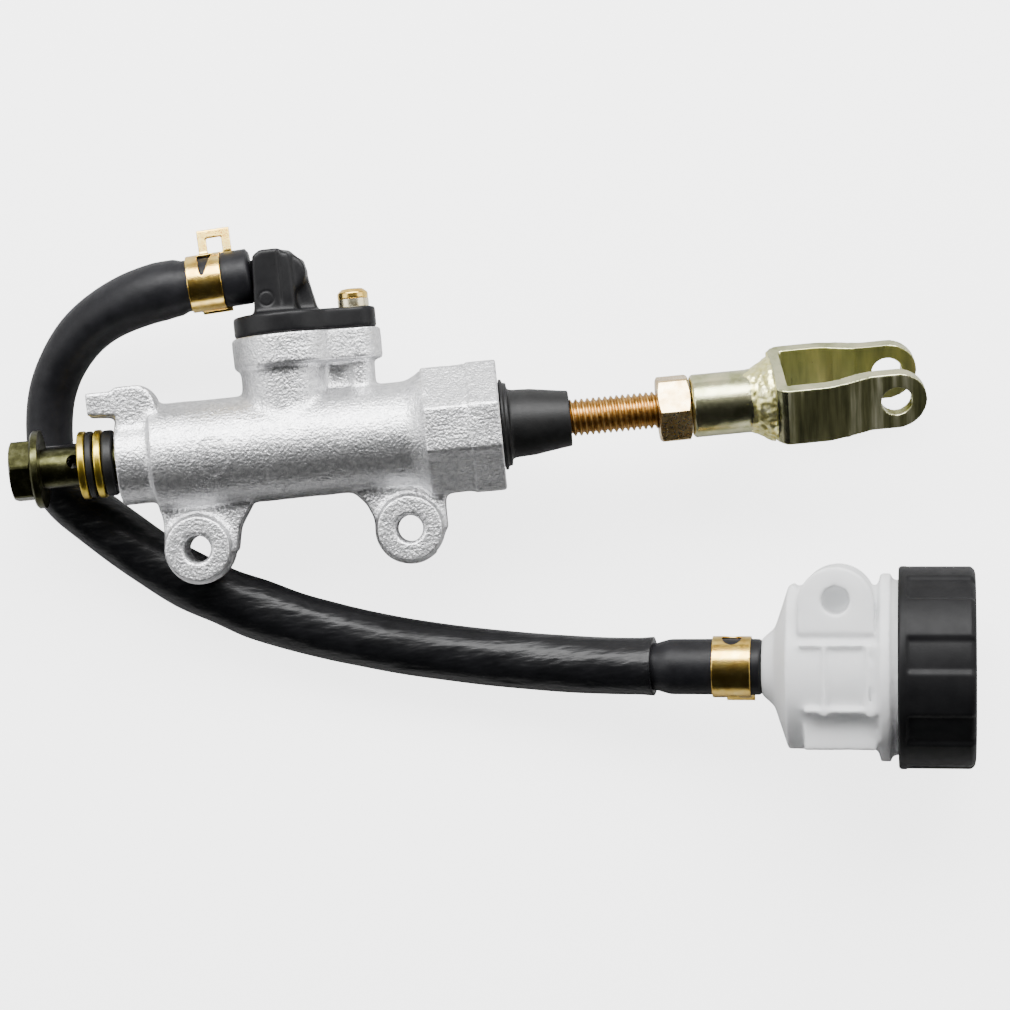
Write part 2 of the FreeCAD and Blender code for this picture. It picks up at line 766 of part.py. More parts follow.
def make_clamps(doc):
    points = route_points()
    way = hose_direction(0)
    near = points[0] + way * (SIZES["inlet_clamp_offset"] + SIZES["inlet_clamp_width"])
    make_clamp(doc, "hose_clamp_inlet", near, way * -1, "inlet_clamp_bore", "inlet_clamp_radius",
               "inlet_clamp_width", 0)
    last = hose_direction(len(points) - 2)
    far = points[-1] - last * (SIZES["reservoir_clamp_offset"] + SIZES["reservoir_clamp_width"])
    make_clamp(doc, "hose_clamp_reservoir", far, last, "reservoir_clamp_bore",
               "reservoir_clamp_radius", "reservoir_clamp_width", -135)


def reservoir_frame():
    """The reservoir's own frame: X along its axis from the hose's end, and Y up across the casting."""
    way = hose_direction(len(HOSE_ROUTE) - 2)
    out = way.cross(Y).normalize()
    up = out.cross(way)
    return FreeCAD.Rotation(way, up, out, "XYZ")


def reservoir_base():
    return tuple(str(value) for value in HOSE_ROUTE[-1])


def along_reservoir(along, up, out):
    """The place of a point given in the reservoir's own frame."""
    point = FreeCAD.Vector(*HOSE_ROUTE[-1])
    point += reservoir_frame().multVec(FreeCAD.Vector(amount(along), amount(up), amount(out)))
    return tuple("%.4f" % value for value in point)


def make_reservoir(doc):
    profile = [
        ("nipple_length * -1", "hose_bore_radius - 0.9"), ("nipple_length * -1", "hose_bore_radius"),
        ("0", "hose_bore_radius"), ("0", "hose_radius + 1"), ("cone_middle", "cone_middle_radius"),
        ("shell_start", "shell_radius - 2.4"), ("shell_start + 0.8", "shell_radius"),
        ("rim_start", "shell_radius"), ("rim_start + 0.6", "rim_radius"), ("rim_end", "rim_radius"),
        ("rim_end", "spout_radius"), ("neck_end", "spout_radius"), ("neck_end", "spout_bore_radius"),
        ("rim_start", "spout_bore_radius"), ("shell_start + 2.6", "shell_radius - reservoir_wall"),
        ("cone_middle + 1.6", "cone_middle_radius - 1.4"), ("2.2", "hose_bore_radius - 0.9"),
    ]
    turn = reservoir_frame()
    shell = turned(doc, "reservoir_shell", profile, reservoir_base(), turn)
    depth = "eye_front - eye_back"
    eye = cylinder(doc, "eye_boss", "eye_radius", depth,
                   along_reservoir("eye_along", "eye_up", "eye_back"), turn.multVec(Z))
    foot = box(doc, "eye_foot", ("eye_radius * 2", "eye_up - eye_ledge", depth),
               along_reservoir("eye_along - eye_radius", "eye_ledge", "eye_back"), turn)
    under = box(doc, "eye_under", ("eye_radius * 2 + 2", "eye_up", depth + " + 2"),
                along_reservoir("eye_along - eye_radius - 1", "eye_ledge - eye_up", "eye_back - 1"), turn)
    inside = [
        ("shell_start + 0.6", "0"), ("shell_start + 2.6", "shell_radius - reservoir_wall"),
        ("rim_start", "spout_bore_radius"), ("neck_end", "spout_bore_radius"), ("neck_end", "0"),
    ]
    hollow = turned(doc, "reservoir_hollow", inside, reservoir_base(), turn)
    ear = cut(doc, "eye_outside", fuse(doc, "eye_solid", [eye, foot]), [hollow, under])
    hole = cylinder(doc, "eye_hole", "eye_hole_radius", "eye_front - eye_hole_floor + 1",
                    along_reservoir("eye_along", "eye_hole_up", "eye_hole_floor"), turn.multVec(Z))
    node(cut(doc, "reservoir", fuse(doc, "reservoir_joined", [shell, ear]), [hole]), "reservoir_body")


def make_cap(doc):
    """The fluted screw cap, with the rubber diaphragm and its plate under the roof."""
    turn = reservoir_frame()
    end = "cap_start + cap_length"
    profile = [
        ("cap_start", "cap_bore_radius"), (end + " - cap_roof", "cap_bore_radius"),
        (end + " - cap_roof", "0"), (end, "0"), (end, "cap_radius - cap_edge_round"),
        (end + " - cap_edge_round * 0.3", "cap_radius - cap_edge_round * 0.3"),
        (end + " - cap_edge_round", "cap_radius"), ("cap_start", "cap_radius"),
    ]
    cap = turned(doc, "screw_cap", profile, reservoir_base(), turn)
    doc.recompute()
    plain = cap.Shape.Volume
    flute = [
        ("flute_half_width * -1", "cap_radius - flute_depth"),
        ("flute_half_width", "cap_radius - flute_depth"),
        ("flute_half_width", "cap_radius + 2"), ("flute_half_width * -1", "cap_radius + 2"),
    ]
    pocket = cap.newObject("PartDesign::Pocket", "flute_pocket")
    pocket.Profile = outline(cap, "flute_outline", flute, "YZ_Plane", "cap_start + cap_rim")
    pocket.setExpression("Length", formula("cap_length"))
    pocket.Reversed = True
    flutes = cap.newObject("PartDesign::PolarPattern", "flutes")
    flutes.Originals = [pocket]
    flutes.Axis = (pocket.Profile[0], ["N_Axis"])
    flutes.Angle = 360
    flutes.Occurrences = 8
    cap.Tip = flutes
    doc.recompute()
    print("cap flutes remove %.1f mm3" % (plain - cap.Shape.Volume))
    node(cap, "reservoir_cap")
    lip = "neck_end + diaphragm_lip"
    rubber = [
        ("neck_end + 0.02", "diaphragm_radius"), (lip, "diaphragm_radius"), (lip, "diaphragm_cup_radius"),
        ("diaphragm_cup_end + diaphragm_sheet", "diaphragm_cup_radius - 1.8"),
        ("diaphragm_cup_end + diaphragm_sheet", "0"), ("diaphragm_cup_end", "0"),
        ("diaphragm_cup_end", "diaphragm_cup_radius - 1"), ("neck_end + 0.02", "diaphragm_cup_radius + 0.6"),
    ]
    node(turned(doc, "rubber_cup", rubber, reservoir_base(), turn), "cap_diaphragm")
    disc = [
        (lip + " + 0.02", "3"), (lip + " + plate_thickness", "3"),
        (lip + " + plate_thickness", "diaphragm_radius - 0.2"), (lip + " + 0.02", "diaphragm_radius - 0.2"),
    ]
    node(turned(doc, "pressure_plate", disc, reservoir_base(), turn), "diaphragm_plate")


def ring(doc, name, start, length, inner, outer):
    """A plain ring about the cylinder's axis."""
    end = start + " + " + length
    corners = [(start, inner), (end, inner), (end, outer), (start, outer)]
    return turned(doc, name, corners, on_axis("0"))


def make_piston(doc):
    profile = [
        ("nose_start", "0"), ("nose_start", "nose_radius"), ("piston_start", "nose_radius"),
        ("piston_start", "piston_radius"), ("spool_start", "piston_radius"), ("spool_start", "spool_radius"),
        ("spool_end", "spool_radius"), ("spool_end", "piston_radius"), ("rear_cup_start", "piston_radius"),
        ("rear_cup_start", "rear_cup_floor"), ("rear_cup_end", "rear_cup_floor"),
        ("rear_cup_end", "piston_radius"), ("piston_end", "piston_radius"), ("piston_end", "0"),
    ]
    body = turned(doc, "piston_turned", profile, on_axis("0"))
    socket = doc.addObject("Part::Sphere", "piston_socket")
    bind(socket, Radius="ball_radius + ball_clearance")
    place(socket, on_axis("ball_along"), facing(X))
    node(cut(doc, "piston_cut", body, [socket]), "piston")
    node(ring(doc, "front_cup", "cup_start", "piston_start - cup_start - 0.05", "cup_bore_radius",
              "cup_radius"), "primary_cup")
    node(ring(doc, "rear_cup", "rear_cup_start + 0.1", "rear_cup_end - rear_cup_start - 0.2",
              "rear_cup_floor + 0.05", "cup_radius"), "secondary_cup")
    node(ring(doc, "seat", "seat_start", "cup_start - seat_start - 0.05", "cup_bore_radius",
              "seat_radius"), "spring_seat")


def make_spring(doc):
    wire = SIZES["spring_wire_radius"]
    height = SIZES["spring_end"] - SIZES["spring_start"] - 2 * wire
    helix = Part.makeHelix(SIZES["spring_pitch"], height, SIZES["spring_radius"])
    start = FreeCAD.Vector(SIZES["spring_radius"], 0, 0)
    section = Part.Wire([Part.Circle(start, Y, wire).toShape()])
    coil = Part.Wire(helix.Edges).makePipeShell([section], True, True)
    solid = doc.addObject("Part::Feature", "coil_spring")
    solid.Shape = coil
    base = FreeCAD.Vector(SIZES["spring_start"] + wire, SIZES["axis_up"], SIZES["axis_out"])
    solid.Placement = FreeCAD.Placement(base, FreeCAD.Rotation(Z, X))
    node(solid, "return_spring")


def make_pushrod(doc):
    washer_end = "rod_shoulder + stop_washer_length"
    profile = [
        ("ball_along", "0"), ("ball_along", "rod_waist_radius"), ("rod_shoulder", "rod_waist_radius"),
        (washer_end, "rod_waist_radius"), (washer_end, "rod_radius"), ("rod_end - 0.8", "rod_radius"),
        ("rod_end", "rod_radius - 0.8"), ("rod_end", "0"),
    ]
    shank = turned(doc, "rod_shank", profile, on_axis("0"))
    ball = bind(doc.addObject("Part::Sphere", "rod_ball"), Radius="ball_radius")
    place(ball, on_axis("ball_along"), facing(X))
    node(fuse(doc, "rod", [shank, ball]), "pushrod")
    node(ring(doc, "stop_washer", "rod_shoulder", "stop_washer_length", "rod_waist_radius + 0.05",
              "stop_washer_radius"), "rod_stop_washer")
    clip = [
        ("groove_start + 0.1", "circlip_inner_radius"),
        ("groove_start + 0.1 + circlip_length", "circlip_inner_radius"),
        ("groove_start + 0.1 + circlip_length", "circlip_radius"),
        ("groove_start + 0.1", "circlip_radius"),
    ]
    node(turned(doc, "snap_ring", clip, on_axis("0"), None, "circlip_turn"), "circlip")


def make_boot(doc):
    profile = [
        ("boot_plug_start", "boot_plug_radius - 1.2"), ("boot_plug_start", "boot_plug_radius"),
        ("boot_lip_start", "boot_plug_radius"), ("boot_lip_start", "boot_lip_radius"),
        ("boot_lip_end", "boot_lip_radius"), ("boot_lip_end", "boot_ring_radius"),
        ("boot_ring_end", "boot_ring_radius"), ("boot_neck_start", "boot_neck_radius"),
        ("boot_end - 0.8", "boot_end_radius"), ("boot_end", "boot_end_radius - 0.8"),
        ("boot_end", "boot_grip_radius"), ("boot_grip_start", "boot_grip_radius"),
        ("boot_grip_start - 1", "boot_bore_radius - 0.3"), ("boot_neck_start", "boot_bore_radius"),
    ]
    node(turned(doc, "rubber_boot", profile, on_axis("0")), "boot")


def make_lock_nut(doc):
    hexagon = prism(doc, "lock_nut_outside", "nut_half_flats", "nut_length", on_axis("nut_start"), 10)
    hole = cylinder(doc, "lock_nut_hole", "rod_clear_radius", "nut_length + 2", on_axis("nut_start - 1"), X)
    node(cut(doc, "lock_nut_cut", hexagon, [hole]), "lock_nut")


def make_fork(doc):
    """The bent strap: a base across the rod, two arms that step in to narrow ears, and a pin hole."""
    sheet = "fork_sheet"
    front_out = "fork_front + " + sheet
    back_out = "fork_back - " + sheet
    base_in = "fork_base + " + sheet
    strap = [
        ("fork_base", back_out), ("fork_bend_start + 0.7", back_out),
        ("fork_bend_end + 0.7", "ear_back - " + sheet), ("ear_end", "ear_back - " + sheet),
        ("ear_end", "ear_back"), ("fork_bend_end", "ear_back"), ("fork_bend_start", "fork_back"),
        (base_in, "fork_back"), (base_in, "fork_front"), ("fork_bend_start", "fork_front"),
        ("fork_bend_end", "ear_front"), ("ear_end", "ear_front"), ("ear_end", "ear_front + " + sheet),
        ("fork_bend_end + 0.7", "ear_front + " + sheet), ("fork_bend_start + 0.7", front_out),
        ("fork_base", front_out),
    ]
    twist = FreeCAD.Rotation(X, SIZES["fork_twist"])
    side = twist * FreeCAD.Rotation(X, 90)
    body = padded(doc, "strap", strap, "fork_half_width * 2", on_axis("0"), side, True)
    bend = amount("fork_base")

    def outer_corner(edge):
        middle = edge.CenterOfMass
        return abs(middle.x - bend) < 0.01 and abs(edge.tangentAt(edge.FirstParameter).z) > 0.9

    round_edges(doc, body, outer_corner, "fork_bend_round")
    tall = "fork_half_width * 6"
    keep = box(doc, "fork_keep", ("ear_hole_along - fork_base + 1", tall, tall),
               ("fork_base - 1", "axis_up - fork_half_width * 3", "axis_out - fork_half_width * 3"))
    across = twist.multVec(Z)
    low = FreeCAD.Vector(0, SIZES["axis_up"], SIZES["axis_out"]) - across * 20
    pin_base = ("ear_hole_along", "%.4f" % low.y, "%.4f" % low.z)
    end = cylinder(doc, "fork_end", "ear_end - ear_hole_along", "40", pin_base, across)
    outline_tool = fuse(doc, "fork_envelope", [keep, end])
    rounded = doc.addObject("Part::MultiCommon", "fork_rounded")
    rounded.Shapes = [body, outline_tool]
    hole = cylinder(doc, "fork_pin_hole", "ear_hole_radius", "40", pin_base, across)
    node(cut(doc, "fork_cut", rounded, [hole]), "clevis_fork")


def make_clevis(doc):
    barrel_end = "sleeve_start + barrel_length - 0.02"
    barrel = [
        ("sleeve_start", "rod_clear_radius"), ("sleeve_start", "barrel_radius - 0.6"),
        ("sleeve_start + 0.6", "barrel_radius"), (barrel_end, "barrel_radius"), (barrel_end, "0"),
        ("barrel_bore_end", "0"), ("barrel_bore_end", "rod_clear_radius"),
    ]
    node(turned(doc, "clevis_tube", barrel, on_axis("0")), "clevis_barrel")
    weld = [
        ("weld_start", "barrel_radius + 0.02"), (barrel_end, "barrel_radius + 0.02"),
        (barrel_end, "weld_radius"), ("fork_base - 0.9", "weld_radius - 0.3"),
    ]
    node(turned(doc, "weld_bead", weld, on_axis("0")), "clevis_weld")
    make_fork(doc)


def make_banjo_bolt(doc):
    head = prism(doc, "bolt_head", "bolt_half_flats", "bolt_head_length", on_axis("bolt_head_start"), 54.5)
    flange_start = "bolt_head_start + bolt_head_length"
    flange_end = flange_start + " + bolt_flange_length"
    profile = [
        (flange_start + " - 0.01", "0"), (flange_start + " - 0.01", "bolt_flange_radius - 0.4"),
        (flange_start + " + 0.4", "bolt_flange_radius"), (flange_end, "bolt_flange_radius"),
        (flange_end, "bolt_waist_radius"), ("bolt_waist_end", "bolt_waist_radius"),
        ("bolt_waist_end", "bolt_radius"), ("bolt_end - 0.8", "bolt_radius"),
        ("bolt_end", "bolt_radius - 0.8"), ("bolt_end", "0"),
    ]
    shank = turned(doc, "bolt_shank", profile, on_axis("0"))
    drill = cylinder(doc, "bolt_drill", "bolt_drill_radius", "bolt_end - bolt_drill_end + 1",
                     on_axis("bolt_drill_end"), X)
    cross_base = ("bolt_cross_along", "axis_up - 3.6", "axis_out - 14.5")
    cross = cylinder(doc, "bolt_cross", "bolt_cross_radius", "30", cross_base,
                     FreeCAD.Vector(0, 3.6, 14.5))
    solid = fuse(doc, "bolt_solid", [head, shank])
    node(cut(doc, "bolt", solid, [drill, cross]), "banjo_bolt")


def make_banjo_seals(doc):
    """Two brass washers, each with a black sealing ring on the casting's side."""
    rings = [
        ("banjo_washer_outer", "outer_washer_start", "washer_length"),
        ("banjo_seal_outer", "outer_seal_start", "seal_length"),
        ("banjo_washer_inner", "inner_washer_start", "washer_length - 0.05"),
        ("banjo_seal_inner", "inner_seal_start", "inner_seal_length"),
    ]
    for label, start, length in rings:
        node(ring(doc, label, start, length, "seal_bore_radius", "seal_radius"), label)


def check(doc):
    """Stops the script if any object failed, or if a sub-part has no valid solid."""
    for item in doc.Objects:
        if "Invalid" in item.State or "Error" in item.State:
            raise RuntimeError("%s failed: %s" % (item.Name, item.State))
    for solid in NODES:
        if solid.Shape.isNull() or not solid.Shape.isValid() or not solid.Shape.Solids:
            raise RuntimeError("%s has no valid solid" % solid.Label)


def export():
    os.makedirs("parts", exist_ok=True)
    for solid in NODES:
        solid.Shape.exportStep(os.path.join("parts", solid.Label + ".step"))
        print("%-22s %9.1f mm3  %d solid" % (solid.Label, solid.Shape.Volume, len(solid.Shape.Solids)))


def main():
    doc = FreeCAD.newDocument("BrakeMasterCylinder")
    make_sheet(doc)
    make_casting(doc)
    make_elbow(doc)
    make_inlet_seal(doc)
    make_inlet_screw(doc)
    make_hose(doc)
    make_clamps(doc)
    make_reservoir(doc)
    make_cap(doc)
    make_piston(doc)
    make_spring(doc)
    make_pushrod(doc)
    make_boot(doc)
    make_lock_nut(doc)
    make_clevis(doc)
    make_banjo_bolt(doc)
    make_banjo_seals(doc)
    doc.recompute()
    check(doc)
    export()


main()
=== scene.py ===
"""A brake master cylinder with its hose, clamps and reservoir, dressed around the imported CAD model.

Everything is in the row frame, in metres; helpers take millimetres where their names or notes say so.
"""

import json
import math

import bmesh
import bpy
import numpy as np
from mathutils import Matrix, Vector


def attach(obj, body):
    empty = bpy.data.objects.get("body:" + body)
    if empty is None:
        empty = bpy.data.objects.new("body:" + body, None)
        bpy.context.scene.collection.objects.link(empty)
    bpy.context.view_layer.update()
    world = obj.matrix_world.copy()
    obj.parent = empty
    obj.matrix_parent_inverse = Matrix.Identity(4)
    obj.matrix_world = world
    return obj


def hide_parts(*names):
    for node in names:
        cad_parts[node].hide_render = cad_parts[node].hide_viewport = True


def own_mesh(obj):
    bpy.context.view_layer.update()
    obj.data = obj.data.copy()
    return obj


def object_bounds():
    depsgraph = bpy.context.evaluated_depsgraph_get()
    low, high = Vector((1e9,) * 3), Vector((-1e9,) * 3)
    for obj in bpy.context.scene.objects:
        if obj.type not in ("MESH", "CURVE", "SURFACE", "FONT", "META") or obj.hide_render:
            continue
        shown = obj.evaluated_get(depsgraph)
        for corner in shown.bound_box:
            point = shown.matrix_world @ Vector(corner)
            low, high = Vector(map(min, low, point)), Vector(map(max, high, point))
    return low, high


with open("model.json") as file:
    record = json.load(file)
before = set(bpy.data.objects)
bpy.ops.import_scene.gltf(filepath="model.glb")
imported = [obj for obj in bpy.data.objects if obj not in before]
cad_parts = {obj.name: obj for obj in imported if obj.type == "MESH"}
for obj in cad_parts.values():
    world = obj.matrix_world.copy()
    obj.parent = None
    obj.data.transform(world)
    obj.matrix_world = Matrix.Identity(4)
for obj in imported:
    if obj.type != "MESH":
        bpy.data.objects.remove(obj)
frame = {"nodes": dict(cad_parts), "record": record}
CAD_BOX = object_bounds()
NODES = frame["nodes"]
MM = 0.001
AXIS = (0.0, 20.0, 8.5)  # a point on the cylinder's axis, mm


# ---------------------------------------------------------------- numbers and noise


def smoothstep(low, high, value):
    t = np.clip((value - low) / (high - low), 0, 1)
    return t * t * (3 - 2 * t)


def hashed(cells, seed):
    """A repeatable number from 0 to 1 for each whole-numbered cell."""
    mixed = cells[:, 0] * 374761393 + cells[:, 1] * 668265263 + cells[:, 2] * 2147483647 + seed * 974634777
    mixed = (mixed ^ (mixed >> 13)) * 1274126177
    mixed = mixed ^ (mixed >> 16)
    return (mixed & 0xFFFFFF) / float(0xFFFFFF)


def lumps(points, size, seed=0):
    """Smooth noise from -1 to 1 with lumps of about that size."""
    scaled = points / size
    cell = np.floor(scaled).astype(np.int64)
    part = scaled - cell
    part = part * part * (3 - 2 * part)
    total = np.zeros(len(points))
    for dx in (0, 1):
        for dy in (0, 1):
            for dz in (0, 1):
                weight = (
                    (part[:, 0] if dx else 1 - part[:, 0])
                    * (part[:, 1] if dy else 1 - part[:, 1])
                    * (part[:, 2] if dz else 1 - part[:, 2])
                )
                total += weight * hashed(cell + np.array([dx, dy, dz]), seed)
    return total * 2 - 1


# ---------------------------------------------------------------- meshes


def add_mesh(name, vertices, faces, material, slot, body, smooth=True):
    """A new piece from vertices in mm that takes the given finish and rides on a body; its slot argument is
    not used.
    """
    data = bpy.data.meshes.new(name)
    data.from_pydata([tuple(v) for v in np.asarray(vertices) * MM], [], [tuple(f) for f in faces])
    data.validate()
    built = bmesh.new()
    built.from_mesh(data)
    bmesh.ops.remove_doubles(built, verts=built.verts, dist=1e-7)
    bmesh.ops.recalc_face_normals(built, faces=built.faces)
    built.to_mesh(data)
    built.free()
    piece = bpy.data.objects.new(name, data)
    bpy.context.scene.collection.objects.link(piece)
    finish_piece(piece, material, slot, body, smooth)
    return piece


def finish_piece(piece, material, slot, body, smooth=True):
    piece.data.materials.clear()
    piece.data.materials.append(material)
    piece.data.polygons.foreach_set("use_smooth", [smooth] * len(piece.data.polygons))
    if body:
        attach(piece, body)


def rounded(profile, radius):
    """A profile of (along, radius) corners with each inner corner turned into a small curve."""
    out = [profile[0]]
    for before, corner, after in zip(profile, profile[1:], profile[2:]):
        here, a, b = np.array(corner[:2]), np.array(before[:2]), np.array(after[:2])
        wanted = corner[2] if len(corner) > 2 else radius
        reach_a = min(wanted, 0.48 * np.linalg.norm(a - here))
        reach_b = min(wanted, 0.48 * np.linalg.norm(b - here))
        start = here + (a - here) / max(np.linalg.norm(a - here), 1e-9) * reach_a
        end = here + (b - here) / max(np.linalg.norm(b - here), 1e-9) * reach_b
        for step in range(6):
            t = step / 5
            out.append(tuple((1 - t) ** 2 * start + 2 * t * (1 - t) * here + t * t * end))
    out.append(profile[-1][:2])
    return [point[:2] for point in out]


def frame_at(point, way, up=(0, 1, 0)):
    """Columns along, up and out of a frame at a point in mm."""
    way = np.array(way, float) / np.linalg.norm(way)
    out = np.cross(way, np.array(up, float))
    out /= np.linalg.norm(out)
    return np.array(point, float), np.column_stack([way, np.cross(out, way), out])


def lathe(name, profile, place, material, slot, body, segments=128, shape=None):
    """A turned piece: corners (along, radius) in mm about a frame's first axis.

    shape(along, angle, radius) may change each vertex's radius.
    """
    origin, axes = place
    rows = np.array(profile, float)
    angles = np.linspace(0, 2 * math.pi, segments, endpoint=False)
    along = np.repeat(rows[:, 0], segments)
    radius = np.repeat(rows[:, 1], segments)
    angle = np.tile(angles, len(rows))
    if shape:
        radius = shape(along, angle, radius)
    local = np.column_stack([along, radius * np.cos(angle), radius * np.sin(angle)])
    vertices = origin + local @ axes.T
    faces = []
    for row in range(len(rows) - 1):
        for k in range(segments):
            n = (k + 1) % segments
            faces.append(
                (row * segments + k, row * segments + n, (row + 1) * segments + n, (row + 1) * segments + k)
            )
    return add_mesh(name, vertices, faces, material, slot, body)


def link_arrays(data):
    count = len(data.edges)
    pairs = np.empty(count * 2, np.int64)
    data.edges.foreach_get("vertices", pairs)
    return pairs.reshape(-1, 2)


def get_points(data):
    points = np.empty(len(data.vertices) * 3)
    data.vertices.foreach_get("co", points)
    return points.reshape(-1, 3) / MM


def set_points(data, points):
    data.vertices.foreach_set("co", (points * MM).ravel())
    data.update()


def get_normals(data):
    normals = np.empty(len(data.vertices) * 3)
    data.vertices.foreach_get("normal", normals)
    return normals.reshape(-1, 3)


def averages(points, pairs):
    """Each vertex's neighbours' mean place."""
    count = len(points)
    both = np.concatenate([pairs, pairs[:, ::-1]])
    share = np.bincount(both[:, 0], minlength=count)[:, None]
    total = np.column_stack(
        [np.bincount(both[:, 0], weights=points[both[:, 1], axis], minlength=count) for axis in range(3)]
    )
    return np.where(share > 0, total / np.maximum(share, 1), points)


def sculpted(name, sources, voxel, fills, softens, keep=None, relief=None):
    """One skin around closed solids, with its inner corners filled and its edges rounded, as castings have.

    keep(points) gives the share from 0 to 1 by which each vertex stays crisp.
    relief(points, normals) gives how far each vertex moves out, in mm.
    """
    built = bmesh.new()
    for source in sources:
        data = source.data if isinstance(source, bpy.types.Object) else source
        built.from_mesh(data)
    data = bpy.data.meshes.new(name)
    built.to_mesh(data)
    built.free()
    piece = bpy.data.objects.new(name, data)
    bpy.context.scene.collection.objects.link(piece)
    remesh = piece.modifiers.new("skin", "REMESH")
    remesh.mode = "VOXEL"
    remesh.voxel_size = voxel * MM
    shape = piece.evaluated_get(bpy.context.evaluated_depsgraph_get())
    data = bpy.data.meshes.new_from_object(shape)
    piece.modifiers.clear()
    piece.data = data
    pairs = link_arrays(data)
    points = get_points(data)
    free = np.ones(len(points)) if keep is None else 1 - keep(points)
    for _ in range(fills):
        move = averages(points, pairs) - points
        set_points(data, points)
        normals = get_normals(data)
        outward = np.einsum("ij,ij->i", move, normals) > 0
        points = points + move * (0.6 * outward * free)[:, None]
    for _ in range(softens):
        move = averages(points, pairs) - points
        points = points + move * (0.25 + 0.35 * free)[:, None]
    set_points(data, points)
    if relief:
        points = points + get_normals(data) * relief(points, get_normals(data))[:, None]
        set_points(data, points)
    return piece


# ---------------------------------------------------------------- materials


class Paint:
    """A node-based material with its constants set on the shader itself."""

    def __init__(self, name, color, metallic=0.0, roughness=0.5, **sockets):
        self.material = bpy.data.materials.new(name)
        self.material.use_nodes = True
        self.tree = self.material.node_tree
        self.shader = self.tree.nodes["Principled BSDF"]
        self.shader.inputs["Base Color"].default_value = (*color, 1)
        self.shader.inputs["Metallic"].default_value = metallic
        self.shader.inputs["Roughness"].default_value = roughness
        for socket, value in sockets.items():
            self.shader.inputs[socket.replace("_", " ")].default_value = value
        self.place = self.node("ShaderNodeTexCoord").outputs["Object"]
        self.normal = None

    def node(self, kind, **values):
        made = self.tree.nodes.new(kind)
        for key, value in values.items():
            if key in made.inputs:
                made.inputs[key].default_value = value
            else:
                setattr(made, key, value)
        return made

    def link(self, output, target):
        self.tree.links.new(output, target)
        return output

    def stretched(self, scale):
        """The object's own coordinates in mm, stretched by a scale along each axis."""
        mapping = self.node("ShaderNodeMapping")
        mapping.inputs["Scale"].default_value = tuple(s / MM for s in scale)
        self.link(self.place, mapping.inputs["Vector"])
        return mapping.outputs["Vector"]

    def noise(self, size, detail=3.0, roughness=0.55, stretch=(1, 1, 1)):
        """Noise with features of about that size in mm."""
        made = self.node("ShaderNodeTexNoise", Scale=1.0, Detail=detail, Roughness=roughness)
        self.link(self.stretched(tuple(s / size for s in stretch)), made.inputs["Vector"])
        return made.outputs["Fac"]

    def cells(self, size, stretch=(1, 1, 1)):
        made = self.node("ShaderNodeTexVoronoi", Scale=1.0)
        self.link(self.stretched(tuple(s / size for s in stretch)), made.inputs["Vector"])
        return made.outputs["Distance"]

    def ramp(self, value, stops):
        """A colour or grey from a value, by stops of (place, colour)."""
        made = self.node("ShaderNodeValToRGB")
        ramp = made.color_ramp
        while len(ramp.elements) < len(stops):
            ramp.elements.new(0.5)
        for element, (place, color) in zip(ramp.elements, stops):
            element.position = place
            element.color = (*color, 1) if isinstance(color, tuple) else (color, color, color, 1)
        self.link(value, made.inputs["Fac"])
        return made.outputs["Color"]

    def color(self, value, stops):
        self.link(self.ramp(value, stops), self.shader.inputs["Base Color"])
        return self

    def mixed(self, value, first, second, mode="MIX"):
        """first and second are colour outputs, mixed by a value from 0 to 1."""
        made = self.node("ShaderNodeMix", data_type="RGBA", blend_type=mode)
        if isinstance(value, (int, float)):
            made.inputs[0].default_value = value
        else:
            self.link(value, made.inputs[0])
        self.link(first, made.inputs[6])
        self.link(second, made.inputs[7])
        return made.outputs[2]

    def rough(self, value, low, high):
        made = self.node("ShaderNodeMapRange")
        made.inputs["To Min"].default_value = low
        made.inputs["To Max"].default_value = high
        self.link(value, made.inputs["Value"])
        self.link(made.outputs["Result"], self.shader.inputs["Roughness"])
        return self

    def bump(self, height, distance, strength=1.0):
        """Adds relief of that depth in mm."""
        made = self.node("ShaderNodeBump", Strength=strength, Distance=distance * MM)
        self.link(height, made.inputs["Height"])
        if self.normal:
            self.link(self.normal, made.inputs["Normal"])
        self.normal = made.outputs["Normal"]
        return self

    def done(self):
        if self.normal:
            self.link(self.normal, self.shader.inputs["Normal"])
        return self.material


def cast_silver():
    paint = Paint("cast_silver", (0.8, 0.8, 0.81), metallic=0.95, roughness=0.4)
    paint.color(
        paint.noise(1.1, 4.0, 0.6),
        [(0.25, (0.46, 0.465, 0.475)), (0.5, (0.68, 0.68, 0.69)), (0.75, (0.86, 0.86, 0.86))],
    )
    paint.rough(paint.noise(0.5, 4.0), 0.3, 0.46)
    paint.bump(paint.noise(0.55, 1.5, 0.4), 0.17)
    paint.bump(paint.noise(0.3, 3.0, 0.6), 0.07)
    return paint.done()


def black_plastic(name="satin_black_plastic", shine=0.18, roughness=(0.3, 0.46)):
    paint = Paint(name, (0.006, 0.006, 0.007), roughness=roughness[0], Specular_IOR_Level=shine)
    paint.color(paint.noise(6.0), [(0.3, (0.004, 0.004, 0.0045)), (0.7, (0.008, 0.008, 0.0085))])
    paint.rough(paint.noise(2.2, 5.0), *roughness)
    paint.bump(paint.noise(0.22, 3.0), 0.018)
    return paint.done()


def black_rubber():
    paint = Paint("black_rubber", (0.004, 0.004, 0.004), roughness=0.48, Specular_IOR_Level=0.28)
    paint.color(paint.noise(3.0, 4.0), [(0.3, (0.003, 0.003, 0.003)), (0.75, (0.007, 0.007, 0.007))])
    paint.rough(paint.noise(1.4, 5.0), 0.38, 0.6)
    paint.bump(paint.noise(0.3, 3.0), 0.03)
    return paint.done()


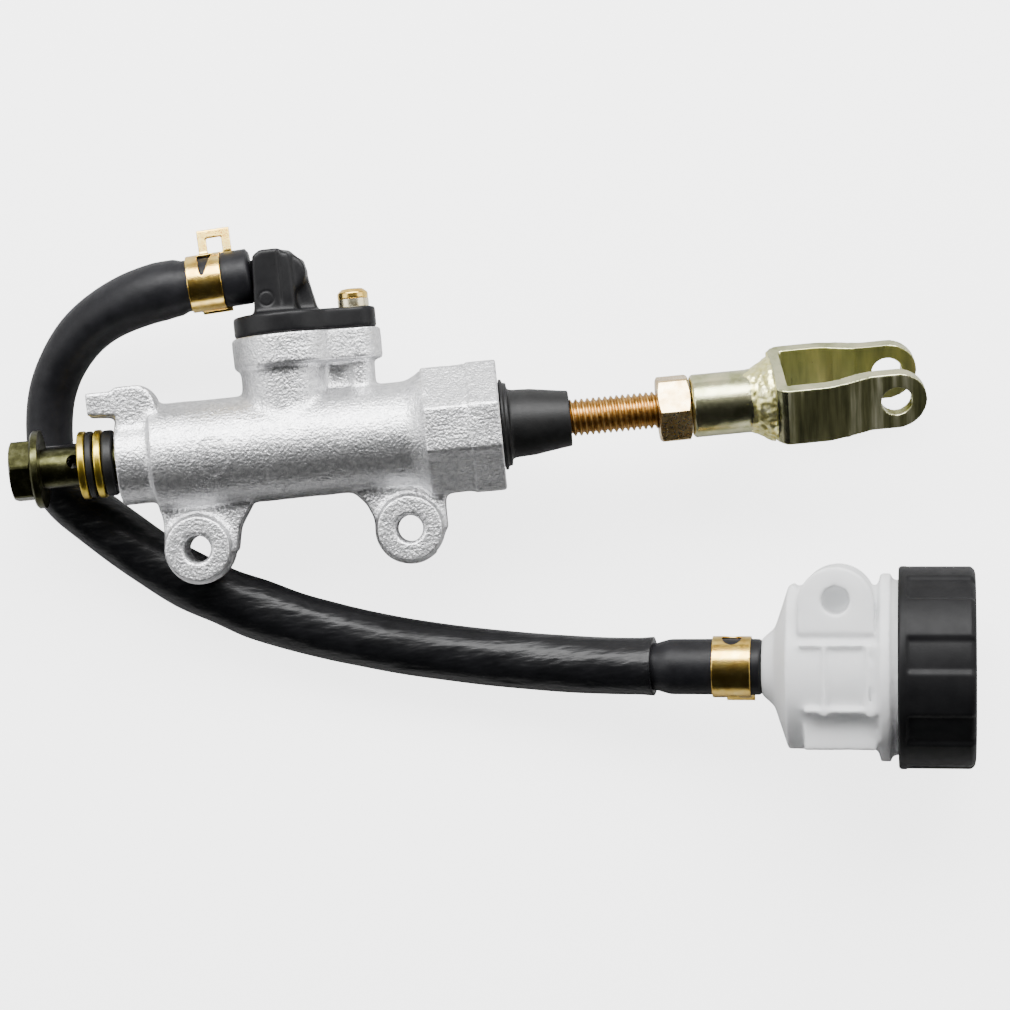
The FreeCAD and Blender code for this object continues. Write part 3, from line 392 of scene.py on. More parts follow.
def hose_rubber():
    paint = Paint("hose_rubber", (0.006, 0.006, 0.007), roughness=0.45, Specular_IOR_Level=0.2)
    paint.color(paint.noise(4.0, 5.0), [(0.3, (0.004, 0.004, 0.005)), (0.75, (0.009, 0.009, 0.0105))])
    paint.rough(paint.noise(1.2, 5.0), 0.34, 0.58)
    paint.bump(paint.noise(0.35, 4.0), 0.03)
    paint.bump(paint.noise(7.0, 2.0), 0.25)
    return paint.done()


def sleeve_vinyl():
    paint = Paint("sleeve_vinyl", (0.004, 0.004, 0.005), roughness=0.34, Specular_IOR_Level=0.26)
    paint.color(paint.noise(5.0, 4.0), [(0.3, (0.003, 0.003, 0.0035)), (0.75, (0.006, 0.006, 0.007))])
    paint.rough(paint.noise(2.0, 5.0), 0.26, 0.46)
    paint.bump(paint.noise(5.0, 3.0, 0.5, (0.45, 1.6, 1.6)), 0.5)
    paint.bump(paint.noise(0.3, 3.0), 0.012)
    return paint.done()


def yellow_zinc(name, low, middle, high, roughness=(0.16, 0.34), size=3.0, streak=(1, 1, 1), metallic=1.0):
    paint = Paint(name, middle, metallic=metallic, roughness=roughness[0])
    paint.color(paint.noise(size, 4.0, 0.6, streak), [(0.28, low), (0.5, middle), (0.74, high)])
    paint.rough(paint.noise(0.8, 5.0, 0.6, streak), *roughness)
    paint.bump(paint.noise(0.35, 4.0, 0.6, streak), 0.02)
    return paint.done()


def milky_plastic():
    paint = Paint("milky_polyethylene", (0.93, 0.94, 0.95), roughness=0.38)
    paint.shader.inputs["Subsurface Weight"].default_value = 0.55
    paint.shader.inputs["Subsurface Radius"].default_value = (1.0, 1.0, 1.0)
    paint.shader.inputs["Subsurface Scale"].default_value = 0.004
    paint.shader.inputs["Transmission Weight"].default_value = 0.35
    paint.shader.inputs["IOR"].default_value = 1.3
    paint.color(paint.noise(7.0, 3.0), [(0.3, (0.9, 0.915, 0.93)), (0.7, (0.97, 0.975, 0.98))])
    paint.rough(paint.noise(1.2, 4.0), 0.3, 0.48)
    paint.bump(paint.noise(1.6, 3.0), 0.05)
    return paint.done()


SILVER = cast_silver()
PLASTIC = black_plastic()
CAP = black_plastic("cap_plastic", 0.14, (0.4, 0.56))
RUBBER = black_rubber()
HOSE = hose_rubber()
VINYL = sleeve_vinyl()
GOLD = yellow_zinc("clamp_gold", (0.6, 0.36, 0.07), (0.84, 0.57, 0.14), (0.95, 0.74, 0.26), (0.14, 0.3))
BRIGHT = yellow_zinc("champagne_zinc", (0.56, 0.47, 0.27), (0.78, 0.7, 0.47), (0.9, 0.84, 0.66))
IRIDESCENT = yellow_zinc(
    "iridescent_zinc", (0.3, 0.32, 0.14), (0.56, 0.56, 0.34), (0.74, 0.68, 0.42), (0.16, 0.32), 5.0
)
OLIVE = yellow_zinc(
    "olive_zinc", (0.02, 0.02, 0.008), (0.05, 0.05, 0.02), (0.11, 0.11, 0.055), (0.24, 0.42), 2.0
)
WELD = yellow_zinc("weld_zinc", (0.55, 0.5, 0.14), (0.82, 0.78, 0.34), (0.95, 0.93, 0.6), (0.24, 0.45), 1.2)
NUT = yellow_zinc("nut_zinc", (0.46, 0.3, 0.12), (0.7, 0.52, 0.26), (0.86, 0.72, 0.46), (0.2, 0.36), 2.5)
# A near-black copy of the fork's zinc: painted shade and painted dark reflection for the arms' outer faces,
# which reflect the dark room overhead.
FORK_FACE_PAINTED_SHADE = yellow_zinc(
    "fork_zinc_painted_shade",
    (0.02, 0.021, 0.008),
    (0.1, 0.1, 0.045),
    (0.42, 0.41, 0.29),
    roughness=(0.26, 0.42),
    size=2.6,
    streak=(1, 0.07, 0.07),
    metallic=0.55,
)
# A darker copy of the fork's zinc: painted shade for the arms' inner faces, chosen by which way they face.
FORK_INNER_PAINTED_SHADE = yellow_zinc(
    "inner_zinc_painted_shade",
    (0.13, 0.14, 0.05),
    (0.3, 0.3, 0.1),
    (0.52, 0.46, 0.16),
    roughness=(0.22, 0.38),
    size=5.0,
    streak=(1, 0.15, 0.15),
    metallic=0.8,
)
BRONZE = yellow_zinc(
    "bronze_zinc", (0.26, 0.14, 0.035), (0.46, 0.27, 0.08), (0.64, 0.43, 0.17), (0.24, 0.4), 1.6
)
STEEL = yellow_zinc("plain_steel", (0.42, 0.42, 0.42), (0.55, 0.55, 0.55), (0.66, 0.66, 0.67))
ANODISED = yellow_zinc("anodised", (0.6, 0.54, 0.36), (0.72, 0.68, 0.52), (0.82, 0.8, 0.68))
BRASS = yellow_zinc(
    "brass_ring", (0.5, 0.34, 0.04), (0.68, 0.5, 0.07), (0.84, 0.7, 0.18), (0.24, 0.36), 5.0
)
MILKY = milky_plastic()

FINISHES = {
    "cast_aluminium": SILVER,
    "black_plastic": PLASTIC,
    "black_rubber": RUBBER,
    "hose_rubber": HOSE,
    "sleeve_vinyl": VINYL,
    "clamp_gold": GOLD,
    "zinc_bright": BRIGHT,
    "zinc_iridescent": IRIDESCENT,
    "zinc_olive": OLIVE,
    "weld_yellow": WELD,
    "rod_bronze": BRONZE,
    "spring_steel": STEEL,
    "machined_aluminium": ANODISED,
    "brass_ring": BRASS,
    "milky_plastic": MILKY,
}
for part in frame["record"]["subparts"]:
    cad = NODES[part["node"]]
    cad.data.materials.clear()
    cad.data.materials.append(FINISHES[part["material_slot"]])
NODES["lock_nut"].data.materials[0] = NUT

# ---------------------------------------------------------------- camera, lights and floor

EYE = Vector((42.95, 2.96, 635.0)) * MM
camera = bpy.data.objects.new("camera", bpy.data.cameras.new("camera"))
camera.data.lens = 105.02
camera.data.sensor_width = 36
camera.data.clip_start = 0.01
camera.location = EYE
camera.rotation_euler = (0, 0, math.radians(-5.55))
bpy.context.scene.collection.objects.link(camera)
bpy.context.scene.camera = camera


def add_light(name, place, target, size, power, color=(1, 1, 1)):
    lamp = bpy.data.lights.new(name, "AREA")
    lamp.shape = "RECTANGLE"
    lamp.size, lamp.size_y = size
    lamp.energy = power
    lamp.color = color
    made = bpy.data.objects.new(name, lamp)
    made.location = place
    made.rotation_euler = (Vector(target) - Vector(place)).to_track_quat("-Z", "Y").to_euler()
    bpy.context.scene.collection.objects.link(made)
    return made


CENTRE = (0.04, 0.0, 0.0)
add_light("softbox_top", (0.04, 0.42, 0.4), CENTRE, (0.9, 0.3), 15.0)
add_light("softbox_left", (-0.5, 0.1, 0.3), CENTRE, (0.3, 0.5), 1.3)
add_light("softbox_right", (0.58, 0.1, 0.3), CENTRE, (0.3, 0.5), 1.3)


def add_studio():
    """Bright behind the object's top edge, and dark overhead and on the low side, as under one softbox."""
    world = bpy.data.worlds.new("studio")
    world.use_nodes = True
    bpy.context.scene.world = world
    tree = world.node_tree
    sky = tree.nodes.new("ShaderNodeTexCoord")
    parts = tree.nodes.new("ShaderNodeSeparateXYZ")
    tree.links.new(sky.outputs["Generated"], parts.inputs["Vector"])
    shades = []
    for axis, stops in (
        ("Y", [(0.0, 0.012), (0.15, 0.06), (0.45, 0.4), (1.0, 0.8)]),
        ("Z", [(0.0, 1.0), (0.6, 1.0), (0.93, 0.22)]),
    ):
        shift = tree.nodes.new("ShaderNodeMapRange")
        shift.inputs["From Min"].default_value = -0.4 if axis == "Y" else 0.0
        tree.links.new(parts.outputs[axis], shift.inputs["Value"])
        ramp = tree.nodes.new("ShaderNodeValToRGB")
        while len(ramp.color_ramp.elements) < len(stops):
            ramp.color_ramp.elements.new(0.5)
        for element, (place, grey) in zip(ramp.color_ramp.elements, stops):
            element.position = place
            element.color = (grey, grey, grey, 1)
        tree.links.new(shift.outputs["Result"], ramp.inputs["Fac"])
        shades.append(ramp.outputs["Color"])
    product = tree.nodes.new("ShaderNodeMix")
    product.data_type = "RGBA"
    product.blend_type = "MULTIPLY"
    product.inputs[0].default_value = 1.0
    tree.links.new(shades[0], product.inputs[6])
    tree.links.new(shades[1], product.inputs[7])
    tree.links.new(product.outputs[2], tree.nodes["Background"].inputs["Color"])


def add_floor():
    """A pale sheet of paper that the camera sees bright, and that lights the object less."""
    paint = Paint("floor_paper", (0.45, 0.45, 0.45), roughness=0.9)
    paint.shader.inputs["Specular IOR Level"].default_value = 0.0
    seen = paint.node("ShaderNodeLightPath")
    glow = paint.node("ShaderNodeMath", operation="MULTIPLY")
    glow.inputs[1].default_value = 3.4
    paint.link(seen.outputs["Is Camera Ray"], glow.inputs[0])
    paint.link(glow.outputs["Value"], paint.shader.inputs["Emission Strength"])
    paint.shader.inputs["Emission Color"].default_value = (1, 1, 1, 1)
    low = CAD_BOX[0][2] / MM - 0.05
    reach = 6000
    corners = [(-reach, -reach, low), (reach, -reach, low), (reach, reach, low), (-reach, reach, low)]
    floor = add_mesh("floor", corners, [(0, 1, 2, 3)], paint.done(), None, None, False)


add_studio()
add_floor()

# ---------------------------------------------------------------- casting


def near_axis(points, centre, direction, radius):
    """How far inside a cylinder of that radius each point lies, in mm."""
    way = np.array(direction, float)
    off = points - np.array(centre, float)
    off = off - np.outer(off @ way, way)
    return radius - np.linalg.norm(off, axis=1)


def casting_keep(points):
    """Machined places: both mounting holes, the mouth, the outlet and the inlet's face."""
    crisp = np.zeros(len(points))
    for centre in ((-22.5, 0, 0), (22.5, 0, 0)):
        hole = near_axis(points, centre, (0, 0, 1), 4.2)
        crisp = np.maximum(crisp, smoothstep(-0.3, 0.3, hole))
        front = smoothstep(13.3, 13.6, points[:, 2]) * (near_axis(points, centre, (0, 0, 1), 7.2) > 0)
        crisp = np.maximum(crisp, 0.7 * front)
    crisp = np.maximum(crisp, smoothstep(43.3, 43.5, points[:, 0]) * 0.8)
    inside = smoothstep(-0.2, 0.2, near_axis(points, AXIS, (1, 0, 0), 9.6)) * (points[:, 0] > 27)
    crisp = np.maximum(crisp, inside)
    bore = smoothstep(-0.2, 0.2, near_axis(points, AXIS, (1, 0, 0), 7.0))
    crisp = np.maximum(crisp, bore)
    crisp = np.maximum(crisp, smoothstep(42.9, 43.2, points[:, 1]) * 0.8)
    return np.maximum(crisp, points[:, 2] < 0.4)


def casting_relief(points, normals):
    free = 1 - casting_keep(points)
    skin = 0.03 * lumps(points, 1.7, 3) + 0.012 * lumps(points, 0.9, 5) + 0.09 * lumps(points, 6.0, 8)
    edge = 1 - np.abs(normals[:, 2])
    lip = 0.28 * np.exp(-(((points[:, 2] - 8.6) / 0.32) ** 2)) * smoothstep(0.55, 0.9, edge)
    lip *= (points[:, 0] < 27.5) * (points[:, 1] < 43)
    ring = np.hypot(points[:, 0] + 17, (points[:, 1] - 19) / 1.15)
    mark = 0.12 * np.exp(-(((ring - 3.7) / 0.28) ** 2)) * (points[:, 2] > 12)
    gate_reach = np.hypot(points[:, 0] - 0.5, points[:, 1] - 26.5)
    gate = 0.2 * np.exp(-(gate_reach / 1.6) ** 2) * (points[:, 2] > 12)
    seam = 0.1 * np.exp(-(((points[:, 0] + 6.2) / 0.25) ** 2)) * (points[:, 2] > 10)
    seam *= smoothstep(11, 13, points[:, 1]) * (1 - smoothstep(29, 31, points[:, 1]))
    step = 0.24 * np.exp(-(((points[:, 0] - 37.1) / 0.24) ** 2)) * (points[:, 2] > 5)
    return free * (skin + lip + mark + gate - seam - step)


casting = sculpted("casting_skin", [NODES["cylinder_casting"]], 0.34, 36, 2, casting_keep, casting_relief)
finish_piece(casting, SILVER, "cast_aluminium", "housing")
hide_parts("cylinder_casting")

# ---------------------------------------------------------------- hose

ROUTE = [
    (-0.0060, 0.0567, 0.0085),
    (-0.0135, 0.0563, 0.0085),
    (-0.0290, 0.0553, 0.0068),
    (-0.0420, 0.0506, 0.0018),
    (-0.0500, 0.0425, -0.0030),
    (-0.0542, 0.0330, -0.0064),
    (-0.0546, 0.0170, -0.0071),
    (-0.0430, 0.0060, -0.0070),
    (-0.0305, -0.0046, -0.0069),
    (-0.0170, -0.0126, -0.0069),
    (-0.0020, -0.0191, -0.0069),
    (0.0135, -0.0244, -0.0069),
    (0.0295, -0.0284, -0.0067),
    (0.0460, -0.0315, -0.0055),
    (0.0630, -0.0341, -0.0024),
    (0.0795, -0.0355, 0.0014),
    (0.0945, -0.0369, 0.0036),
]


def spline_points(route):
    """The smooth line of a route, as the points of its NURBS spline."""
    curve = bpy.data.curves.new("route", "CURVE")
    curve.dimensions = "3D"
    spline = curve.splines.new("NURBS")
    spline.points.add(len(route) - 1)
    for point, place in zip(spline.points, route):
        point.co = (*place, 1)
    spline.order_u = 3
    spline.use_endpoint_u = True
    spline.resolution_u = 16
    holder = bpy.data.objects.new("route", curve)
    bpy.context.scene.collection.objects.link(holder)
    bpy.context.view_layer.update()
    data = bpy.data.meshes.new_from_object(holder.evaluated_get(bpy.context.evaluated_depsgraph_get()))
    points = [tuple(v.co) for v in data.vertices]
    bpy.data.objects.remove(holder)
    return np.array(points)


LINE = spline_points(ROUTE)
ALONG = np.concatenate([[0], np.cumsum(np.linalg.norm(np.diff(LINE, axis=0), axis=1))])


def at_length(length):
    """The line's places at lengths in metres."""
    return np.column_stack([np.interp(length, ALONG, LINE[:, axis]) for axis in range(3)])


def tube(name, centres, radius, material, slot, segments=72, bore=None):
    """A skin round a line of centres in metres; radius(index, angle) in mm."""
    count = len(centres)
    ways = np.gradient(centres, axis=0)
    ways /= np.linalg.norm(ways, axis=1)[:, None]
    side = np.cross(ways[0], (0, 0, 1))
    side /= np.linalg.norm(side)
    angles = np.linspace(0, 2 * math.pi, segments, endpoint=False)
    rows = []
    for index in range(count):
        side = side - ways[index] * (side @ ways[index])
        side /= np.linalg.norm(side)
        other = np.cross(ways[index], side)
        reach = radius(index, angles) * MM
        ring = centres[index] + np.outer(reach * np.cos(angles), side)
        ring = ring + np.outer(reach * np.sin(angles), other)
        rows.append(ring)
    vertices = np.concatenate(rows)
    faces = []
    for row in range(count - 1):
        for k in range(segments):
            n = (k + 1) % segments
            faces.append(
                (row * segments + k, row * segments + n, (row + 1) * segments + n, (row + 1) * segments + k)
            )
    first = list(range(segments))
    last = [(count - 1) * segments + k for k in range(segments)]
    vertices = list(vertices / MM)
    for loop, centre, flip in ((first, centres[0], 1), (last, centres[-1], -1)):
        start = len(vertices)
        inner = np.array([vertices[i] for i in loop])
        middle = centre / MM
        vertices += list(middle + (inner - middle) * (bore or 0.5))
        for k in range(segments):
            n = (k + 1) % segments
            quad = (loop[k], start + k, start + n, loop[n])
            faces.append(quad if flip > 0 else quad[::-1])
        faces.append(tuple(range(start, start + segments)))
    return add_mesh(name, vertices, faces, material, slot, "housing")


TOTAL = ALONG[-1]
STEPS = np.linspace(0, TOTAL, 420)
HOSE_LINE = at_length(STEPS)
MM_ALONG = STEPS / MM


def hose_radius(index, angles):
    """The hose swells over its nipples, is pinched by its clamps, and bulges after the first one."""
    here = MM_ALONG[index]
    left = TOTAL / MM - here
    base = np.interp(
        here,
        [0, 0.5, 5.4, 6.6, 14.4, 15.8, 20, 26, 34, 50, 70, TOTAL / MM],
        [5.5, 5.9, 5.9, 5.45, 5.45, 6.0, 6.25, 6.1, 5.7, 5.15, 5.0, 5.0],
    )
    swell = 1.0 * smoothstep(24, 19, left) if left < 30 else 0.0
    lump = 0.05 * lumps(np.array([[here, 0.0, 0.0]]), 9.0, 4)[0]
    rim = -0.35 if index in (0, len(MM_ALONG) - 1) else 0.0
    return np.full(len(angles), base + swell + lump + rim)


hose = tube("hose_skin", HOSE_LINE, hose_radius, HOSE, "hose_rubber", bore=0.6)
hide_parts("hose")


def length_where(test):
    """The length at which the line first passes a test."""
    for length, point in zip(STEPS, HOSE_LINE):
        if test(point / MM):
            return length
    return TOTAL


SLEEVE_START = length_where(lambda p: p[0] < -45 and p[1] < 25.5)
SLEEVE_END = length_where(lambda p: p[0] > 71.0)
SLEEVE_STEPS = np.linspace(SLEEVE_START, SLEEVE_END, 520)
SLEEVE_LINE = at_length(SLEEVE_STEPS)


def sleeve_radius(index, angles):
    """A loose vinyl sleeve: wider and creased where the hose turns, and flared at its cut end."""
    x = SLEEVE_LINE[index][0] / MM
    done = (SLEEVE_STEPS[index] - SLEEVE_START) / (SLEEVE_END - SLEEVE_START)
    base = 6.12 + 0.28 * math.exp(-(((x + 15) / 13) ** 2)) + 0.2 * math.exp(-(((1 - done) / 0.012) ** 2))
    if done < 0.02:
        base -= 0.25 * (1 - done / 0.02)
    along = SLEEVE_STEPS[index] / MM
    ringed = np.column_stack([np.full(len(angles), along), 6.2 * np.cos(angles), 6.2 * np.sin(angles)])
    crease = math.exp(-(((x + 14) / 20) ** 2))
    stretched = ringed * np.array([0.42, 1.0, 1.0])
    folds = lumps(stretched, 3.6, 11) * (0.05 + 0.26 * crease)
    long_folds = lumps(ringed * np.array([0.16, 1.0, 1.0]), 4.4, 12) * 0.13
    return base + folds + long_folds


sleeve = tube("sleeve_skin", SLEEVE_LINE, sleeve_radius, VINYL, "sleeve_vinyl", 96, bore=0.84)
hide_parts("hose_sleeve")

# ---------------------------------------------------------------- pushrod thread

ROD = frame_at((0, 20.0, 8.5), (1, 0, 0))
PITCH = 1.25


def thread(start, end, major, minor):
    """Radius changes for a right-handed 60 degree thread between two places along an axis."""

    def shape(along, angle, radius):
        turn = (along / PITCH - angle / (2 * math.pi)) % 1
        wave = np.abs(turn * 2 - 1)
        cut = minor + (major - minor) * smoothstep(0.12, 0.88, wave)
        fade = smoothstep(end, end - 1.2, along) * smoothstep(start, start + 0.6, along)
        return np.where((along > start) & (along < end), radius + (cut - major) * fade, radius)

    return shape


rod_profile = [(25.5, 0.02)]
rod_profile += [(29.5 - 4 * math.cos(t), 4 * math.sin(t)) for t in np.linspace(0.15, 2.3, 14)]
rod_profile += [(38.6, 2.9), (40.2, 2.9), (40.3, 3.95)]
rod_profile += [(x, 3.95) for x in np.arange(41.0, 94.2, PITCH / 8)]
rod_profile += [(94.3, 3.95), (95.0, 3.2), (95.0, 0.02)]
rod = lathe(
    "pushrod_threaded",
    rod_profile,
    ROD,
    BRONZE,
    "rod_bronze",
    "pushrod_group",
    64,
    thread(44, 94.2, 3.98, 3.3),
)
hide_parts("pushrod")

# ---------------------------------------------------------------- boot

boot_profile = rounded(
    [
        (42.5, 5.4), (42.5, 8.8), (43.9, 8.85), (43.9, 9.65), (44.6, 9.65), (44.75, 8.85), (45.5, 8.85),
        (45.7, 7.5), (46.4, 7.25), (50.5, 7.05), (56.5, 6.15), (58.5, 5.9), (58.5, 4.3), (54.5, 4.3),
        (54.0, 5.4), (42.5, 5.4),
    ],
    0.35,
)
boot = lathe("boot_skin", boot_profile, ROD, RUBBER, "black_rubber", "housing")
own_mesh(boot)
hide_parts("boot")

# ---------------------------------------------------------------- return spring

SPRING_START = -22.7
SPRING_END = -4.05
SPRING_PITCH = 3.3
SPRING_RADIUS = 4.5
SPRING_WIRE_RADIUS = 0.6
spring_turns = np.linspace(0, (SPRING_END - SPRING_START) / SPRING_PITCH * 2 * math.pi, 260)
coil = np.stack(
    [
        SPRING_START + spring_turns * SPRING_PITCH / (2 * math.pi),
        AXIS[1] + SPRING_RADIUS * np.cos(spring_turns),
        AXIS[2] + SPRING_RADIUS * np.sin(spring_turns),
    ],
    axis=1,
)


def spring_wire(index, angles):
    return np.full(len(angles), SPRING_WIRE_RADIUS)


spring = tube("return_spring_coil", coil * MM, spring_wire, STEEL, "spring_steel", 16)
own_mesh(spring)
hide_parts("return_spring")

# ---------------------------------------------------------------- reservoir and cap

RESERVOIR = frame_at((94.5, -36.9, 3.6), (15.0, -1.4, 2.2))


def cap_shape(along, angle, radius):
    """Eight shallow flutes between the rim band and the end."""
    turn = (np.degrees(angle) + 33.5) % 45 - 22.5
    dip = 1 - smoothstep(8.0, 11.0, np.abs(turn))
    outer = smoothstep(19.6, 20.4, radius)
    band = smoothstep(30.6, 31.3, along)
    return radius - 0.6 * dip * outer * band


cap_sides = [(29.0, 19.3), (29.0, 21.2), (29.3, 21.5), (29.6, 21.6), (30.5, 21.6)]
cap_sides += [(x, 21.55) for x in np.arange(30.7, 44.0, 0.35)]
cap_sides += [(44.3, 21.4), (44.7, 21.1), (45.0, 20.6), (45.15, 20.0), (45.2, 19.1), (45.2, 17.3)]
cap_sides += [(44.9, 16.9), (44.9, 6.0), (44.9, 0.02)]
cap = lathe("cap_skin", cap_sides, RESERVOIR, CAP, "black_plastic", "cap_group", 288, cap_shape)
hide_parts("reservoir_cap")

# ---------------------------------------------------------------- solids that join a sculpted skin


def solid(place, corners, depth_axis, low, high):
    """A closed prism in a frame: corners in its other two axes, and its span along depth_axis, in mm."""
    origin, axes = place
    rest = [axis for axis in range(3) if axis != depth_axis]
    vertices = []
    for depth in (low, high):
        for first, second in corners:
            local = np.zeros(3)
            local[rest[0]], local[rest[1]], local[depth_axis] = first, second, depth
            vertices.append(tuple((origin + axes @ local) * MM))
    count = len(corners)
    faces = [tuple(range(count)), tuple(range(2 * count - 1, count - 1, -1))]
    faces += [(k, (k + 1) % count, (k + 1) % count + count, k + count) for k in range(count)]
    data = bpy.data.meshes.new("solid")
    data.from_pydata(vertices, [], faces)
    built = bmesh.new()
    built.from_mesh(data)
    bmesh.ops.recalc_face_normals(built, faces=built.faces)
    built.to_mesh(data)
    built.free()
    return data


def rectangle(left, right, low, high):
    return [(left, low), (right, low), (right, high), (left, high)]


def disc(across, up, radius, count=40):
    turns = [2 * math.pi * k / count for k in range(count)]
    return [(across + radius * math.cos(t), up + radius * math.sin(t)) for t in turns]


# ---------------------------------------------------------------- reservoir body


def reservoir_sources():
    """The body with its panel of ribs, its lower pad and its shoulder bead."""
    yield NODES["reservoir_body"]
    for corners in (
        rectangle(8.4, 24.4, 5.4, 6.0),
        rectangle(9.5, 24.4, -8.3, -7.5),
        rectangle(13.4, 14.1, -8.0, 5.6),
        rectangle(22.3, 23.0, -8.4, 5.8),
        rectangle(23.7, 24.5, -8.8, 6.2),
    ):
        yield solid(RESERVOIR, corners, 2, 15.6, 18.0)
    yield solid(RESERVOIR, disc(13.75, -8.2, 0.9), 2, 14.0, 18.1)
    yield solid(RESERVOIR, disc(23.4, -8.2, 1.1), 2, 14.0, 18.1)
    yield solid(RESERVOIR, rectangle(9.5, 24.5, -16.4, -8.2), 2, 4.0, 14.2)
    yield solid(RESERVOIR, rectangle(8.3, 24.5, 7.7, 8.4), 2, 12.0, 16.6)
    yield solid(RESERVOIR, disc(6.6, 16.9, 0.9), 2, -6.0, 6.0)


def reservoir_relief(points, normals):
    return 0.05 * lumps(points, 5.0, 21)


reservoir = sculpted("reservoir_skin", list(reservoir_sources()), 0.32, 20, 4, None, reservoir_relief)
finish_piece(reservoir, MILKY, "milky_plastic", "housing")
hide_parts("reservoir_body")

# ---------------------------------------------------------------- inlet elbow


ELBOW = frame_at((0, 0, 8.5), (1, 0, 0))


def elbow_relief(points, normals):
    facing = smoothstep(0.6, 0.9, normals[:, 2])
    ring = np.hypot(points[:, 0] + 2.9, points[:, 1] - 51.2)
    pin = -0.14 * np.exp(-(((ring - 1.55) / 0.16) ** 2)) * facing
    groove = -0.25 * np.exp(-(((points[:, 0] - 0.3) / 0.3) ** 2)) * facing
    groove = groove * smoothstep(49, 51, points[:, 1])
    return pin + groove + 0.03 * lumps(points, 3.0, 31)


elbow_sources = [
    NODES["inlet_elbow"],
    solid(ELBOW, disc(1.6, 56.3, 4.2), 2, -4.6, 4.2),
    solid(ELBOW, rectangle(4.4, 5.5, 57.6, 59.0), 2, -1.6, 1.6),
    solid(ELBOW, [(1.0, 48.0), (3.2, 48.0), (2.6, 60.6), (1.0, 60.8)], 2, -2.7, 5.4),
]
elbow = sculpted("elbow_skin", elbow_sources, 0.24, 60, 16, None, elbow_relief)
finish_piece(elbow, PLASTIC, "black_plastic", "housing")
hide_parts("inlet_elbow")

# ---------------------------------------------------------------- hose clamps


def band_solid(place, radius, width, sheet, cut):
    """A closed band with slots; cut(along, degrees) says where it is open."""
    around, across = 260, 48
    angles = np.linspace(0, 2 * math.pi, around, endpoint=False)
    steps = np.linspace(0, width, across + 1)
    origin, axes = place
    built = bmesh.new()
    grid = {}
    for layer, reach in enumerate((radius - sheet, radius)):
        for i, along in enumerate(steps):
            for k, angle in enumerate(angles):
                local = np.array([along, reach * math.cos(angle), reach * math.sin(angle)])
                grid[layer, i, k] = built.verts.new(tuple((origin + axes @ local) * MM))
    filled = {
        (i, k): not cut((steps[i] + steps[i + 1]) / 2, math.degrees(angles[k]) + 180 / around)
        for i in range(across)
        for k in range(around)
    }
    for (i, k), there in filled.items():
        if not there:
            continue
        n = (k + 1) % around
        outer = [grid[1, i, k], grid[1, i, n], grid[1, i + 1, n], grid[1, i + 1, k]]
        inner = [grid[0, i, k], grid[0, i + 1, k], grid[0, i + 1, n], grid[0, i, n]]
        built.faces.new(outer)
        built.faces.new(inner)
        if not filled.get((i - 1, k), False):
            built.faces.new([grid[1, i, k], grid[0, i, k], grid[0, i, n], grid[1, i, n]])
        if not filled.get((i + 1, k), False):
            built.faces.new([grid[1, i + 1, n], grid[0, i + 1, n], grid[0, i + 1, k], grid[1, i + 1, k]])
        if not filled[(i, (k - 1) % around)]:
            built.faces.new([grid[1, i + 1, k], grid[0, i + 1, k], grid[0, i, k], grid[1, i, k]])
        if not filled[(i, n)]:
            built.faces.new([grid[1, i, n], grid[0, i, n], grid[0, i + 1, n], grid[1, i + 1, n]])
    bmesh.ops.recalc_face_normals(built, faces=built.faces)
    data = bpy.data.meshes.new("band")
    built.to_mesh(data)
    built.free()
    return data


def tab_solids(place, left, right, low, high, rim, depth, sheet):
    """A loop of flat sheet that stands up from a band: four bars round a window."""
    return [
        solid(place, corners, 2, depth, depth + sheet)
        for corners in (
            rectangle(left, left + rim, low, high),
            rectangle(right - rim, right, low, high),
            rectangle(left, right, high - rim, high),
            rectangle(left, right, low, low + 0.6),
        )
    ]


def inlet_cut(along, degrees):
    """A slot from the top round to the front, square on one side and tapering to a round end."""
    part = (degrees - 14) / 66
    if not 0 <= part <= 1:
        return False
    left = 2.4 + 0.6 * part
    right = 6.2 - 2.6 * part
    if part > 0.86:
        squeeze = 1 - math.sqrt(max(0.0, 1 - ((part - 0.86) / 0.14) ** 2))
        middle = (left + right) / 2
        return abs(along - middle) < (right - left) / 2 * (1 - squeeze)
    return left < along < right


def oval(along, degrees, centre, turn, half, reach):
    off = (degrees - turn + 180) % 360 - 180
    return ((along - centre) / half) ** 2 + (off / reach) ** 2 < 1


def reservoir_cut(along, degrees):
    return oval(along, degrees, 4.2, 14, 2.1, 26) or oval(along, degrees, 4.4, 172, 1.6, 16)


inlet_way = np.array(ROUTE[0]) - np.array(ROUTE[1])
inlet_way /= np.linalg.norm(inlet_way)
INLET_CLAMP = frame_at(np.array(ROUTE[0]) / MM - inlet_way * 13.3, inlet_way)
inlet_sources = [band_solid(INLET_CLAMP, 6.05, 7.3, 0.5, inlet_cut)]
inlet_sources += tab_solids(INLET_CLAMP, 3.0, 10.0, 5.4, 11.1, 1.9, 0.2, 0.6)
inlet_sources.append(solid(INLET_CLAMP, rectangle(2.0, 8.4, -6.7, -5.6), 2, -1.2, -0.5))
inlet_clamp = sculpted("inlet_clamp_skin", inlet_sources, 0.13, 6, 3)
TAB_ROOT = 6.2
TAB_LEAN = 0.15
clamp_points = get_points(inlet_clamp.data)
reach = (clamp_points - INLET_CLAMP[0]) @ INLET_CLAMP[1][:, 1]
lean = TAB_LEAN * np.maximum(reach - TAB_ROOT, 0)
set_points(inlet_clamp.data, clamp_points - np.outer(lean, INLET_CLAMP[1][:, 2]))
finish_piece(inlet_clamp, GOLD, "clamp_gold", "housing")
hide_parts("hose_clamp_inlet")

